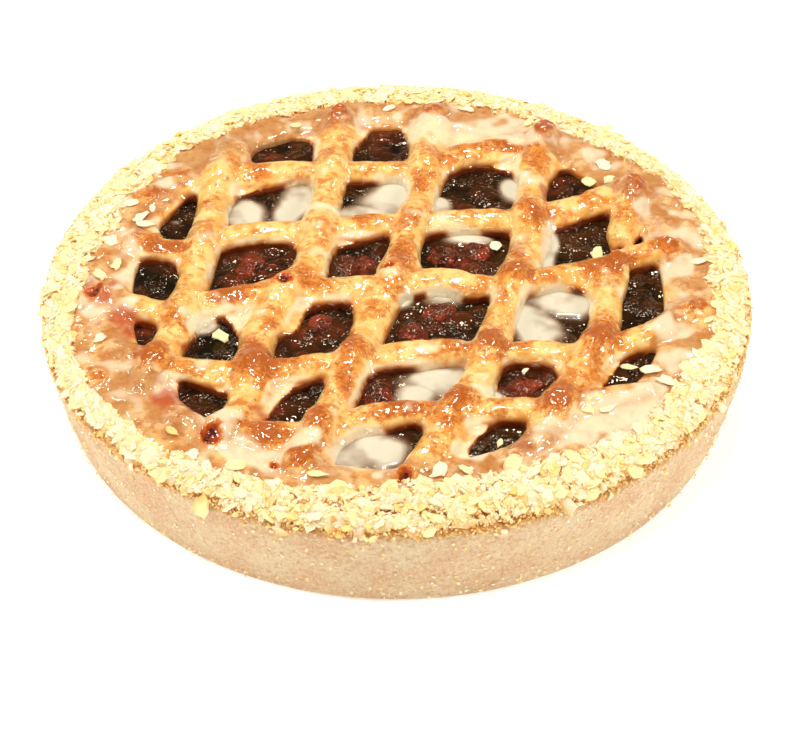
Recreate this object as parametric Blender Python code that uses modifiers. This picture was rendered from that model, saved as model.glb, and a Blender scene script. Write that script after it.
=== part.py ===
"""Linzer torte: a deep round shortcrust case with a band of chopped almonds round its
shoulder, a bed of cherry jam in its shallow top, and a woven lattice of rolled dough strands.

Metres, +Z up. The origin is the middle of the flat underside, and -Y is the front.
"""

import math
import random

import bmesh
import bpy
from mathutils import Euler, Matrix, Vector, noise

# Case
FOOT_RADIUS = 0.1236
SIDE_RADIUS = 0.1312
SIDE_TOP = 0.0350
FOOT_FILLET = 0.0016
SIDE_BELLY = 0.0008
CREST_RADIUS = 0.1095
CREST_HEIGHT = 0.0427
CASE_STEPS = 60
SIDE_UNEVENNESS = 0.0009
SIDE_WAVE = 0.021
SIDE_WAVE_HEIGHT = 0.030

# Well in the top of the case, with its mean radius and how it wanders, one value each 30 degrees
WELL_RADIUS = 0.1020
WELL_FLOOR = 0.0280
WELL_SHIFT = (-0.001, -0.002, 0.000, 0.0005, 0.005, -0.004, -0.0025, 0.001, 0.002, 0.002, -0.0055, 0.004)
WARP_START = 0.070
WARP_END = 0.1165

# Jam
JAM_HEIGHT = 0.0398
JAM_STEPS = 48
JAM_RINGS = 6
JAM_WAVE = 0.0010
JAM_WAVE_SIZE = 0.016

# Rolled dough strands
STRAND_RADIUS = 0.0060
STRAND_AXIS = 0.0394
STRAND_STEP = 0.0090
STRAND_TAPER = 0.70
TAPER_LENGTH = 0.010
UNEVEN_ROLL = 0.07
ROLL_WAVE = 0.014
ROLL_SEED = 8.1
CROSSING_REACH = 0.0068
UPPER_LIFT = 0.0011
LOWER_DIP = 0.0030
END_LIFT = 0.0012

# Chopped almonds fused to the shoulder: rows by their radius from the middle
ALMOND_ROWS = (0.1195, 0.1242, 0.1284, 0.1312)
ALMONDS_IN_ROW = 36
ALMOND_LENGTH = (0.0058, 0.0094)
ALMOND_WIDTH = 0.62
ALMOND_THICKNESS = (0.0017, 0.0026)
ALMOND_TOP = 0.36
ALMOND_TILT = 0.30
ALMOND_SINK = 0.12
ALMOND_TURN = 0.28
ALMOND_SCATTER = 0.0013
ALMOND_DROP_RADIUS = 0.128
ALMOND_DROP = (0.002, 0.007)
ALMOND_SEED = 11

# Room left between pieces that touch
GAP = 0.0003

# Upper strands run from the back edge to the front one, as plan points in millimetres
UPPER_STRANDS = {
    "strand_a1": (
        (-63, 90), (-68, 72), (-70, 50), (-72, 30), (-74.5, 5), (-78, -14), (-83, -36), (-90, -56),
        (-92, -62),
    ),
    "strand_a2": (
        (-22, 109), (-24, 85), (-26, 62), (-29.5, 38), (-32, 13), (-39, -1), (-46, -18),
        (-51, -38), (-52, -56), (-57, -74), (-66, -88),
    ),
    "strand_a3": (
        (15, 110), (11, 82), (10.5, 58), (5, 33), (0, 6), (-7.5, -20), (-15.5, -45), (-23, -69),
        (-30, -90), (-36, -105),
    ),
    "strand_a4": (
        (58, 94), (54, 72), (50.5, 48), (48.5, 24), (43.5, 3), (38, -20), (33, -40), (28, -57),
        (18, -77), (12, -92), (4, -107),
    ),
    "strand_a5": (
        (82, 9), (77.5, -6), (75.5, -24), (69, -43), (60, -62), (52, -80), (42, -98),
    ),
    "strand_a6": (
        (90, 63), (89, 47), (85.5, 32), (84, 23),
    ),
}

# Lower strands run from the left edge to the right one
LOWER_STRANDS = {
    "strand_b1": (
        (-94, 56), (-79, 62), (-60, 66.5), (-40, 69), (-6, 69), (11, 73), (30, 80), (48, 86),
        (62, 91),
    ),
    "strand_b2": (
        (-104, 27), (-94, 23), (-85, 20), (-72, 24), (-58, 30), (-31, 33), (0, 36.5), (30, 38),
        (50, 40), (65, 45), (78, 50.5), (93, 57),
    ),
    "strand_b3": (
        (-110, -4), (-98, -12), (-88, -16), (-74, -13), (-58, -8), (-40, -4), (-20, -2.5),
        (12, 1.5), (32, -1), (50, 1), (66, 6), (84, 14), (107, 23),
    ),
    "strand_b4": (
        (-104, -36), (-90, -42.5), (-70, -49), (-50, -49.5), (-30, -47), (-5, -41), (20, -39),
        (60, -39.5), (74, -37), (88, -31), (100, -23), (110, -15),
    ),
    "strand_b5": (
        (-80, -76), (-68, -80), (-50, -84), (-32, -82), (-5, -73.5), (18, -70.5), (48, -70),
        (68, -67), (91, -61),
    ),
}

# Cherries that show in the jam: plan place in millimetres and radius in metres
CHERRIES = {
    "cherry_1": (15, -12.5, 0.0072),
    "cherry_2": (5, -24.5, 0.0070),
    "cherry_3": (-7, -58.5, 0.0066),
    "cherry_4": (17.5, 19.5, 0.0070),
    "cherry_5": (31, 23.5, 0.0064),
    "cherry_6": (-12, 15.5, 0.0065),
    "cherry_7": (-54, 12, 0.0070),
    "cherry_8": (46, -54.5, 0.0070),
    "cherry_9": (-28, -22, 0.0070),
}
CHERRY_DEPTH = 0.0036
CHERRY_FLATNESS = 0.86
CHERRY_UNEVENNESS = 0.0006
CHERRY_DENT = 0.00625
CHERRY_SEED_STEP = 9000.0


def clear_scene():
    for item in list(bpy.data.objects):
        bpy.data.objects.remove(item, do_unlink=True)


def new_collection(name):
    collection = bpy.data.collections.new(name)
    bpy.context.scene.collection.children.link(collection)
    return collection


def new_material(name, colour, roughness):
    material = bpy.data.materials.new(name)
    material.use_nodes = True
    shader = material.node_tree.nodes["Principled BSDF"]
    shader.inputs["Base Color"].default_value = (*colour, 1.0)
    shader.inputs["Roughness"].default_value = roughness
    shader.inputs["Metallic"].default_value = 0.0
    return material


def baked(item, collection):
    """A mesh object made from what a curve or a modified object looks like, in its place."""
    graph = bpy.context.evaluated_depsgraph_get()
    mesh = bpy.data.meshes.new_from_object(item.evaluated_get(graph))
    name = item.name
    place = item.matrix_world.copy()
    bpy.data.objects.remove(item, do_unlink=True)
    result = bpy.data.objects.new(name, mesh)
    result.matrix_world = place
    collection.objects.link(result)
    bm = bmesh.new()
    bm.from_mesh(mesh)
    bmesh.ops.remove_doubles(bm, verts=bm.verts, dist=0.00002)
    bmesh.ops.recalc_face_normals(bm, faces=bm.faces)
    bm.to_mesh(mesh)
    bm.free()
    return result


def turned(name, profile, steps, collection):
    """A solid turned about Z from (radius, height) points that start and end on the axis."""
    mesh = bpy.data.meshes.new(name)
    points = [(radius, 0.0, height) for radius, height in profile]
    mesh.from_pydata(points, [(i, i + 1) for i in range(len(points) - 1)], [])
    item = bpy.data.objects.new(name, mesh)
    collection.objects.link(item)
    screw = item.modifiers.new("turn", "SCREW")
    screw.steps = steps
    screw.render_steps = steps
    screw.use_merge_vertices = True
    screw.merge_threshold = 0.00001
    bpy.context.view_layer.update()
    return baked(item, collection)


def quarter_ellipse(centre, radii, start, end, steps):
    points = []
    for index in range(steps + 1):
        angle = math.radians(start + (end - start) * index / steps)
        points.append((centre[0] + radii[0] * math.cos(angle), centre[1] + radii[1] * math.sin(angle)))
    return points


def smooth_step(value, start, end):
    t = min(max((value - start) / (end - start), 0.0), 1.0)
    return t * t * (3.0 - 2.0 * t)


def well_shift(angle):
    """How far the hand-pressed edge of the well lies from its mean radius at this angle."""
    count = len(WELL_SHIFT)
    turn = (angle / (2.0 * math.pi)) % 1.0 * count
    first = int(turn) % count
    blend = smooth_step(turn - int(turn), 0.0, 1.0)
    return WELL_SHIFT[first] * (1.0 - blend) + WELL_SHIFT[(first + 1) % count] * blend


def warp_well(item):
    """Moves the well's edge in and out by angle, and nothing near the middle or the shoulder."""
    for vertex in item.data.vertices:
        radius = math.hypot(vertex.co.x, vertex.co.y)
        if radius < WARP_START or radius > WARP_END:
            continue
        near = smooth_step(radius, WARP_START, WELL_RADIUS - GAP)
        near = near * (1.0 - smooth_step(radius, WELL_RADIUS + GAP, WARP_END))
        scale = 1.0 + near * well_shift(math.atan2(vertex.co.y, vertex.co.x)) / radius
        vertex.co.x *= scale
        vertex.co.y *= scale


def jam_dip(x, y):
    """How far the jam has sunk below the level that the strands lie on."""
    return JAM_WAVE * abs(noise.noise(Vector((x / JAM_WAVE_SIZE, y / JAM_WAVE_SIZE, 3.7))))


def ring_profile(clearance):
    """Well edge, crest and shoulder of the case, or the same grown by a clearance."""
    inner_radii = (CREST_RADIUS - WELL_RADIUS + clearance, CREST_HEIGHT - JAM_HEIGHT + clearance)
    outer_radii = (SIDE_RADIUS - CREST_RADIUS + clearance, CREST_HEIGHT - SIDE_TOP + clearance)
    inner = quarter_ellipse((CREST_RADIUS, JAM_HEIGHT), inner_radii, 165.0, 90.0, 3)
    outer = quarter_ellipse((CREST_RADIUS, SIDE_TOP), outer_radii, 90.0, 0.0, 6)
    return inner + outer[1:]


def make_case(collection, material):
    side_middle = (SIDE_RADIUS + FOOT_RADIUS) / 2 + SIDE_BELLY
    profile = [(0.0, WELL_FLOOR), (WELL_RADIUS, WELL_FLOOR), (WELL_RADIUS, JAM_HEIGHT)]
    profile += ring_profile(0.0)
    profile += [
        (side_middle, SIDE_TOP / 2),
        (FOOT_RADIUS, FOOT_FILLET),
        (FOOT_RADIUS - FOOT_FILLET, 0.0),
        (0.0, 0.0),
    ]
    case = turned("crust", profile, CASE_STEPS, collection)
    warp_well(case)
    for vertex in case.data.vertices:
        radius = math.hypot(vertex.co.x, vertex.co.y)
        if radius > WARP_END and vertex.co.z > 0.0:
            x, y, z = vertex.co
            wave = noise.noise(Vector((x / SIDE_WAVE, y / SIDE_WAVE, z / SIDE_WAVE_HEIGHT)))
            scale = 1.0 + SIDE_UNEVENNESS * wave / radius
            vertex.co.x *= scale
            vertex.co.y *= scale
    case.data.materials.append(material)
    return case


def make_almonds(case, collection):
    """Loose chopped almonds, half sunk in the shoulder, spread in staggered rows."""
    rng = random.Random(ALMOND_SEED)
    for row, row_radius in enumerate(ALMOND_ROWS):
        for index in range(ALMONDS_IN_ROW):
            turn = (index + 0.5 * (row % 2) + rng.uniform(-ALMOND_TURN, ALMOND_TURN)) / ALMONDS_IN_ROW
            angle = 2.0 * math.pi * turn
            radius = row_radius + rng.uniform(-ALMOND_SCATTER, ALMOND_SCATTER)
            drop = smooth_step(radius, ALMOND_DROP_RADIUS, SIDE_RADIUS) * rng.uniform(*ALMOND_DROP)
            above = Vector((radius * math.cos(angle), radius * math.sin(angle), CREST_HEIGHT - drop))
            found, place, normal, face = case.closest_point_on_mesh(above)
            length = rng.uniform(*ALMOND_LENGTH)
            thickness = rng.uniform(*ALMOND_THICKNESS)
            almond = almond_piece(rng, length, thickness, f"almond_{row}_{index}")
            lean = Euler((rng.uniform(-ALMOND_TILT, ALMOND_TILT), rng.uniform(-ALMOND_TILT, ALMOND_TILT),
                          rng.uniform(0.0, 2.0 * math.pi)))
            upright = normal.to_track_quat("Z", "Y").to_matrix()
            facing = (upright @ lean.to_matrix()).to_4x4()
            almond.data.transform(Matrix.Translation(place + normal * thickness * ALMOND_SINK) @ facing)
            collection.objects.link(almond)


def almond_piece(rng, length, thickness, name):
    """A five-sided chip with a smaller top and no two corners alike."""
    bm = bmesh.new()
    bmesh.ops.create_cone(bm, cap_ends=True, segments=5, radius1=length / 2,
                          radius2=length * ALMOND_TOP, depth=thickness)
    for vertex in bm.verts:
        vertex.co.x *= rng.uniform(0.86, 1.1)
        vertex.co.y *= ALMOND_WIDTH * rng.uniform(0.86, 1.1)
    mesh = bpy.data.meshes.new(name)
    bm.to_mesh(mesh)
    bm.free()
    return bpy.data.objects.new(name, mesh)


def boolean(item, collection, operation, solver):
    """Joins or cuts an object by every object of a collection, and applies it."""
    modifier = item.modifiers.new("cut", "BOOLEAN")
    modifier.operand_type = "COLLECTION"
    modifier.collection = collection
    modifier.operation = operation
    modifier.solver = solver
    bpy.context.view_layer.update()
    graph = bpy.context.evaluated_depsgraph_get()
    mesh = bpy.data.meshes.new_from_object(item.evaluated_get(graph))
    item.modifiers.clear()
    item.data = mesh


def keep_largest_shell(item):
    """Drops loose scraps and sealed hollows left by a Boolean, and keeps the one outer skin."""
    bm = bmesh.new()
    bm.from_mesh(item.data)
    seen = set()
    shells = []
    for start in bm.faces:
        if start in seen:
            continue
        shell = [start]
        seen.add(start)
        for face in shell:
            for edge in face.edges:
                for other in edge.link_faces:
                    if other not in seen:
                        seen.add(other)
                        shell.append(other)
        shells.append(shell)
    shells.sort(key=len, reverse=True)
    for shell in shells[1:]:
        bmesh.ops.delete(bm, geom=shell, context="FACES")
    bm.to_mesh(item.data)
    bm.free()


def shade_round(item, degrees):
    item.data.shade_smooth()
    item.data.set_sharp_from_angle(angle=math.radians(degrees))


def make_jam(collection, material):
    edge = WELL_RADIUS - GAP
    profile = [(edge * ring / JAM_RINGS, JAM_HEIGHT) for ring in range(JAM_RINGS + 1)]
    profile += [(edge, WELL_FLOOR + GAP), (0.0, WELL_FLOOR + GAP)]
    jam = turned("filling", profile, JAM_STEPS, collection)
    for vertex in jam.data.vertices:
        if vertex.co.z > JAM_HEIGHT - GAP:
            vertex.co.z -= jam_dip(vertex.co.x, vertex.co.y)
    warp_well(jam)
    jam.data.materials.append(material)
    return jam


def make_bed_cutters(collection):
    """What the strands lie on, grown by the gap: the level of the jam and the ring of the case."""
    ring = ring_profile(GAP)
    ring += [(SIDE_RADIUS, WELL_FLOOR), (ring[0][0], WELL_FLOOR), ring[0]]
    warp_well(turned("ring_cutter", ring, CASE_STEPS, collection))
    bm = bmesh.new()
    depth = JAM_HEIGHT + GAP - WELL_FLOOR
    radius = WELL_RADIUS + max(WELL_SHIFT)
    bmesh.ops.create_cone(bm, cap_ends=True, segments=CASE_STEPS, radius1=radius,
                          radius2=radius, depth=depth)
    mesh = bpy.data.meshes.new("jam_cutter")
    bm.to_mesh(mesh)
    bm.free()
    level = bpy.data.objects.new("jam_cutter", mesh)
    level.location.z = WELL_FLOOR + depth / 2
    collection.objects.link(level)


def cherry_mesh(name, radius, extra):
    """A plump fruit, a little flat and dented; extra grows it all round."""
    bm = bmesh.new()
    bmesh.ops.create_icosphere(bm, subdivisions=2, radius=radius)
    seed = radius * CHERRY_SEED_STEP + len(name)
    for vertex in bm.verts:
        lump = noise.noise(vertex.co / CHERRY_DENT + Vector((seed, 0.0, 0.0)))
        vertex.co += vertex.co.normalized() * (CHERRY_UNEVENNESS * lump + extra)
        vertex.co.z *= CHERRY_FLATNESS
    mesh = bpy.data.meshes.new(name)
    bm.to_mesh(mesh)
    bm.free()
    return mesh


def make_cherries(collection, cutters, material):
    for name, (x, y, radius) in CHERRIES.items():
        place = (x / 1000.0, y / 1000.0, JAM_HEIGHT - CHERRY_DEPTH)
        cherry = bpy.data.objects.new(name, cherry_mesh(name, radius, 0.0))
        cherry.location = place
        cherry.data.materials.append(material)
        shade_round(cherry, 60.0)
        collection.objects.link(cherry)
        socket = bpy.data.objects.new(name + "_socket", cherry_mesh(name, radius, GAP * 1.3))
        socket.location = place
        cutters.objects.link(socket)


def smooth_path(points):
    """Plan points a step apart along a Catmull-Rom curve through the given ones, in metres."""
    knots = [Vector((x / 1000.0, y / 1000.0)) for x, y in points]
    knots = [knots[0] * 2.0 - knots[1]] + knots + [knots[-1] * 2.0 - knots[-2]]
    fine = []
    for a, b, c, d in zip(knots, knots[1:], knots[2:], knots[3:]):
        for index in range(20):
            t = index / 20.0
            fine.append(0.5 * (2.0 * b + (c - a) * t + (2.0 * a - 5.0 * b + 4.0 * c - d) * t * t
                               + (3.0 * b - a - 3.0 * c + d) * t * t * t))
    fine.append(knots[-2])
    length = sum((b - a).length for a, b in zip(fine, fine[1:]))
    count = max(3, round(length / STRAND_STEP))
    wanted = [length * index / count for index in range(count + 1)]
    path = [fine[0]]
    walked = 0.0
    for a, b in zip(fine, fine[1:]):
        stretch = (b - a).length
        while len(path) < count and walked + stretch >= wanted[len(path)]:
            path.append(a.lerp(b, (wanted[len(path)] - walked) / stretch))
        walked += stretch
    path.append(fine[-1])
    return path


def nearness(point, paths):
    """1 where a strand of the other set crosses, and 0 well away from them all."""
    nearest = min((point - other).length for path in paths for other in path)
    return math.exp(-((nearest / CROSSING_REACH) ** 2))


def strand_tube(name, path, crossing_paths, rise, extra, collection):
    """A rolled strand as a round tube: it rises or dips where the other set crosses it."""
    curve = bpy.data.curves.new(name, "CURVE")
    curve.dimensions = "3D"
    curve.fill_mode = "FULL"
    curve.bevel_depth = STRAND_RADIUS + extra
    curve.bevel_resolution = 2
    curve.use_fill_caps = True
    spline = curve.splines.new("POLY")
    spline.points.add(len(path) - 1)
    last = len(path) - 1
    for index, point in enumerate(path):
        from_end = min(index, last - index) * STRAND_STEP
        end = 1.0 - smooth_step(from_end, 0.0, TAPER_LENGTH)
        height = STRAND_AXIS + rise * nearness(point, crossing_paths) + END_LIFT * end
        spline.points[index].co = (point.x, point.y, height, 1.0)
        roll = UNEVEN_ROLL * noise.noise(Vector((point.x / ROLL_WAVE, point.y / ROLL_WAVE, ROLL_SEED)))
        spline.points[index].radius = (1.0 + roll) * (1.0 - (1.0 - STRAND_TAPER) * end)
    tube = bpy.data.objects.new(name, curve)
    collection.objects.link(tube)
    bpy.context.view_layer.update()
    return baked(tube, collection)


def make_strands(parts, bed_cutters, material):
    """Lower strands are cut flat by what they lie on, and upper ones also fit over the lower."""
    upper_paths = {name: smooth_path(points) for name, points in UPPER_STRANDS.items()}
    lower_paths = {name: smooth_path(points) for name, points in LOWER_STRANDS.items()}
    lower_copies = new_collection("lower_strand_cutters")
    for name, path in lower_paths.items():
        strand = strand_tube(name, path, upper_paths.values(), -LOWER_DIP, 0.0, parts)
        finish_strand(strand, [bed_cutters], material)
        strand_tube(name + "_cutter", path, upper_paths.values(), -LOWER_DIP, GAP * 1.1, lower_copies)
    for name, path in upper_paths.items():
        strand = strand_tube(name, path, lower_paths.values(), UPPER_LIFT, 0.0, parts)
        finish_strand(strand, [bed_cutters, lower_copies], material)
    return lower_copies


def finish_strand(strand, cutter_collections, material):
    for cutters in cutter_collections:
        boolean(strand, cutters, "DIFFERENCE", "MANIFOLD")
    keep_largest_shell(strand)
    strand.data.materials.clear()
    strand.data.materials.append(material)
    shade_round(strand, 50.0)


def hide_cutters(collection):
    for item in collection.objects:
        item.hide_render = True
        item.display_type = "WIRE"


def remove_collection(collection):
    for item in list(collection.objects):
        bpy.data.objects.remove(item, do_unlink=True)
    bpy.data.collections.remove(collection)


def main():
    clear_scene()
    parts = new_collection("linzer_torte")
    almonds = new_collection("almonds")
    cherry_cutters = new_collection("cherry_cutters")
    bed_cutters = new_collection("bed_cutters")
    crust_finish = new_material("baked_shortcrust", (0.78, 0.56, 0.30), 0.75)
    jam_finish = new_material("cherry_jam", (0.12, 0.02, 0.015), 0.15)
    cherry_finish = new_material("cooked_cherry", (0.28, 0.03, 0.02), 0.2)
    strand_finish = new_material("glazed_lattice_dough", (0.82, 0.47, 0.18), 0.35)

    case = make_case(parts, crust_finish)
    make_almonds(case, almonds)
    boolean(case, almonds, "UNION", "EXACT")
    keep_largest_shell(case)
    shade_round(case, 35.0)
    remove_collection(almonds)

    jam = make_jam(parts, jam_finish)
    make_cherries(parts, cherry_cutters, cherry_finish)
    boolean(jam, cherry_cutters, "DIFFERENCE", "EXACT")
    keep_largest_shell(jam)
    shade_round(jam, 40.0)

    make_bed_cutters(bed_cutters)
    lower_cutters = make_strands(parts, bed_cutters, strand_finish)
    for cutters in (cherry_cutters, bed_cutters, lower_cutters):
        hide_cutters(cutters)


main()
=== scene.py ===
"""The looks of a linzer torte: a fused, glazed lattice over dark cherry jam in a sandy crust
with a band of chopped almonds round its shoulder. Metres, +Z up, -Y is the front."""

import math

import bmesh
import bpy
import numpy as np
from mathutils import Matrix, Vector
from mathutils.kdtree import KDTree


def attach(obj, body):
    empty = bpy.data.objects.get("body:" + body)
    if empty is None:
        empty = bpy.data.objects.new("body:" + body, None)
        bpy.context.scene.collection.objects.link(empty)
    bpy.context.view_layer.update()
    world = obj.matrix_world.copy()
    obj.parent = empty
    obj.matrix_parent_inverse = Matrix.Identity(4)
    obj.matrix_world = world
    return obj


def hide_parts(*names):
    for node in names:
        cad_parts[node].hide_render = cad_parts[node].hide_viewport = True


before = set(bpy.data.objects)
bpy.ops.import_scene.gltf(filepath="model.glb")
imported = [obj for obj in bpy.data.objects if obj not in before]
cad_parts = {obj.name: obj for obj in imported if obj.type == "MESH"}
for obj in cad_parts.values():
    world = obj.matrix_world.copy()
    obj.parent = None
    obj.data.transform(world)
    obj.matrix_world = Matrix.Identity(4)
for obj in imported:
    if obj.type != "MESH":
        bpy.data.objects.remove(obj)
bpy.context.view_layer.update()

MM = 0.001
NOISE_CELLS = 24

# Case, as in the CAD
FOOT_RADIUS = 0.1236
SIDE_RADIUS = 0.1312
SIDE_TOP = 0.0350
FOOT_FILLET = 0.0016
SIDE_BELLY = 0.0008
CREST_RADIUS = 0.1095
CREST_HEIGHT = 0.0427
WELL_RADIUS = 0.1020
WELL_FLOOR = 0.0280
WELL_SHIFT = (
    -0.001, -0.002, 0.0, 0.0005, 0.005, -0.004, -0.0025, 0.001, 0.002, 0.002, -0.0055, 0.004,
)
JAM_HEIGHT = 0.0398

# Strands, as in the CAD: plan points in millimetres
PATH_STEP = 0.0022
STRAND_RADIUS = 0.0063
STRAND_AXIS = 0.0396
UPPER_LIFT = 0.0020
LOWER_DIP = 0.0022
CROSSING_REACH = 0.0075
UPPER_STRANDS = (
    ((-63, 90), (-68, 72), (-70, 50), (-72, 30), (-74.5, 5), (-78, -14), (-83, -36), (-90, -56),
     (-92, -62)),
    ((-22, 109), (-24, 85), (-26, 62), (-29.5, 38), (-32, 13), (-39, -1), (-46, -18), (-51, -38),
     (-52, -56), (-57, -74), (-66, -88)),
    ((15, 110), (11, 82), (10.5, 58), (5, 33), (0, 6), (-7.5, -20), (-15.5, -45), (-23, -69),
     (-30, -90), (-36, -105)),
    ((58, 94), (54, 72), (50.5, 48), (48.5, 24), (43.5, 3), (38, -20), (33, -40), (28, -57), (18, -77),
     (12, -92), (4, -107)),
    ((82, 9), (77.5, -6), (75.5, -24), (69, -43), (60, -62), (52, -80), (42, -98)),
    ((90, 63), (89, 47), (85.5, 32), (84, 23)),
)
LOWER_STRANDS = (
    ((-94, 56), (-79, 62), (-60, 66.5), (-40, 69), (-6, 69), (11, 73), (30, 80), (48, 86), (62, 91)),
    ((-104, 27), (-94, 23), (-85, 20), (-72, 24), (-58, 30), (-31, 33), (0, 36.5), (30, 38), (50, 40),
     (65, 45), (78, 50.5), (93, 57)),
    ((-110, -4), (-98, -12), (-88, -16), (-74, -13), (-58, -8), (-40, -4), (-20, -2.5), (12, 1.5),
     (32, -1), (50, 1), (66, 6), (84, 14), (107, 23)),
    ((-104, -36), (-90, -42.5), (-70, -49), (-50, -49.5), (-30, -47), (-5, -41), (20, -39), (60, -39.5),
     (74, -37), (88, -31), (100, -23), (110, -15)),
    ((-80, -76), (-68, -80), (-50, -84), (-32, -82), (-5, -73.5), (18, -70.5), (48, -70), (68, -67),
     (91, -61)),
)

# Openings between the strands, in plan millimetres, as their rims are seen from the camera
OPENINGS = (
    ((-78, 51), (-75, 48), (-75, 40), (-77, 31), (-79, 22), (-85, 20), (-88, 29), (-90, 36), (-87, 42),
     (-82, 49)),
    ((-98, 9), (-92, 11), (-83, 9), (-81, 0), (-84, -9), (-89, -14), (-95, -10), (-99, -3)),
    ((-104, -23), (-96, -23), (-87, -27), (-86, -36), (-93, -38), (-98, -32)),
    ((-56, 83), (-51, 89), (-40, 90), (-34, 88), (-33, 79), (-35, 73), (-49, 72), (-55, 74)),
    ((-16, 73), (-17, 82), (-12, 92), (-9, 99), (0, 100), (3, 92), (5, 82), (4, 74), (-8, 72)),
    ((-62, 50), (-57, 54), (-46, 57), (-34, 60), (-33, 52), (-35, 43), (-40, 34), (-52, 35), (-62, 31),
     (-64, 40)),
    ((-20, 40), (-20, 56), (-16, 60), (0, 60), (4, 55), (4, 40), (-8, 38)),
    ((13, 43), (18, 60), (22, 66), (31, 70), (39, 69), (45, 65), (47, 52), (45, 39), (30, 41)),
    ((57, 56), (60, 63), (65, 69), (74, 67), (80, 63), (70, 53), (60, 47)),
    ((-69, -5), (-68, 8), (-66, 17), (-51, 21), (-39, 20), (-36, 11), (-45, 4), (-58, -3)),
    ((-24, 1), (-25, 11), (-22, 20), (-13, 23), (-2, 26), (-3, 18), (-8, 9), (-8, 1)),
    ((10, 10), (9, 18), (11, 26), (27, 28), (45, 27), (44, 18), (40, 8), (37, -1), (33, 2), (24, 7),
     (14, 8)),
    ((52, 2), (54, 12), (58, 22), (59, 30), (67, 34), (75, 38), (82, 39), (80, 29), (80, 18), (72, 11),
     (61, 7)),
    ((81, -14), (83, -2), (87, 6), (93, 11), (100, 5), (101, -10), (92, -23), (85, -29), (80, -28)),
    ((98, 50), (100, 47), (97, 38), (93, 28), (88, 21), (82, 19), (82, 22), (88, 27), (91, 35),
     (94, 44)),
    ((-77, -45), (-77, -39), (-74, -33), (-70, -26), (-63, -23), (-59, -27), (-57, -34), (-59, -42),
     (-63, -48), (-71, -47)),
    ((-43, -44), (-44, -38), (-43, -32), (-37, -28), (-33, -18), (-27, -15), (-17, -15), (-16, -22),
     (-18, -31), (-21, -41), (-34, -46)),
    ((-5, -40), (-4, -28), (0, -16), (4, -11), (15, -9), (25, -11), (36, -11), (33, -20), (29, -28),
     (25, -35), (8, -39)),
    ((43, -36), (43, -27), (46, -17), (50, -7), (66, -6), (71, -12), (69, -27), (66, -35), (60, -38)),
    ((-77, -64), (-76, -58), (-61, -63), (-57, -65), (-60, -70), (-64, -74), (-69, -74), (-73, -70)),
    ((-47, -77), (-44, -71), (-38, -62), (-32, -59), (-26, -57), (-26, -62), (-30, -72), (-35, -79),
     (-41, -81)),
    ((-16, -74), (-13, -63), (-10, -55), (-4, -51), (10, -50), (25, -47), (20, -59), (14, -69),
     (0, -71)),
    ((36, -65), (36, -57), (39, -50), (46, -48), (55, -50), (58, -55), (57, -62), (53, -69), (40, -69)),
    ((70, -64), (77, -51), (83, -44), (90, -40), (98, -37), (94, -50), (90, -57), (82, -60)),
    ((-21, -99), (-19, -91), (-13, -86), (-4, -84), (7, -81), (10, -86), (8, -92), (2, -99), (-6, -104),
     (-16, -103)),
    ((25, -92), (28, -86), (32, -82), (37, -79), (44, -79), (47, -83), (43, -88), (35, -92), (29, -95)),
)
FAR_RIM_SHIFT = 3.2
NEAR_RIM_SHIFT = -1.5
WEB_RADIUS = 0.1045
WEB_CELL = 0.0009
WEB_TOP = 0.0413
WEB_BOTTOM = 0.0375
RIM_BASE = 0.0393
RIM_REACH = 0.0066
DOUGH_REACH = 0.0085

# The dough ring, and the skin that joins it to the strands
RING_TOP = 0.0431
RING_REACH = 0.1238
SKIN_CELL = 0.0008
SKIN_ROUNDS = 5

# Blisters in the dough: x, y, radius and how deep the burst middle is, in millimetres
BLISTERS = (
    (-41, -3, 6.4, 1.6), (-3, 4, 5.4, 1.5), (-64, -87, 7.0, 1.8), (-42, -101, 3.4, 1.4),
    (3, -107, 5.8, 1.6), (-111, -7, 6.2, 1.3), (-107, -56, 5.2, 0.7), (58, 91, 6.5, 0.3),
    (15, 108, 6.0, 0.7), (83, 8, 5.0, 0.4), (101, 17, 6.6, 0.8), (110, -16, 5.6, 0.6),
    (44, 2, 5.0, 0.1), (73, -37, 6.2, 0.1), (92, 57, 5.4, 0.7), (41, -98, 4.6, 1.0),
    (-23, 105, 5.2, 0.6), (20, -65, 5.6, 0.2), (57, -72, 6.0, 0.1), (33, -41, 5.6, 0.1),
)

# Raised knobs where strands end or cross: x, y, radius and height in millimetres
KNOBS = (
    (101, 18, 8.0, 1.6), (58, 91, 8.0, 1.6), (15, 108, 7.5, 1.3), (-23, 104, 7.5, 1.3),
    (-110, -7, 6.5, 1.0), (92, 57, 7.0, 1.0), (110, -16, 7.5, 1.0), (74, -36, 8.5, 0.5),
    (57, -71, 8.5, 0.5), (20, -67, 8.5, 0.5), (34, -40, 8.5, 0.5), (-45, -83, 8.5, 0.6),
    (-107, -54, 6.5, 0.8), (-84, 66, 7.5, 0.8), (-96, 52, 7.5, 0.7), (44, 2, 7.5, 0.5),
    (82, 9, 8.0, 0.6), (-50, -46, 9.0, 0.5), (-33, -100, 7.5, 0.7), (-88, -46, 7.5, 0.7),
)

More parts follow.
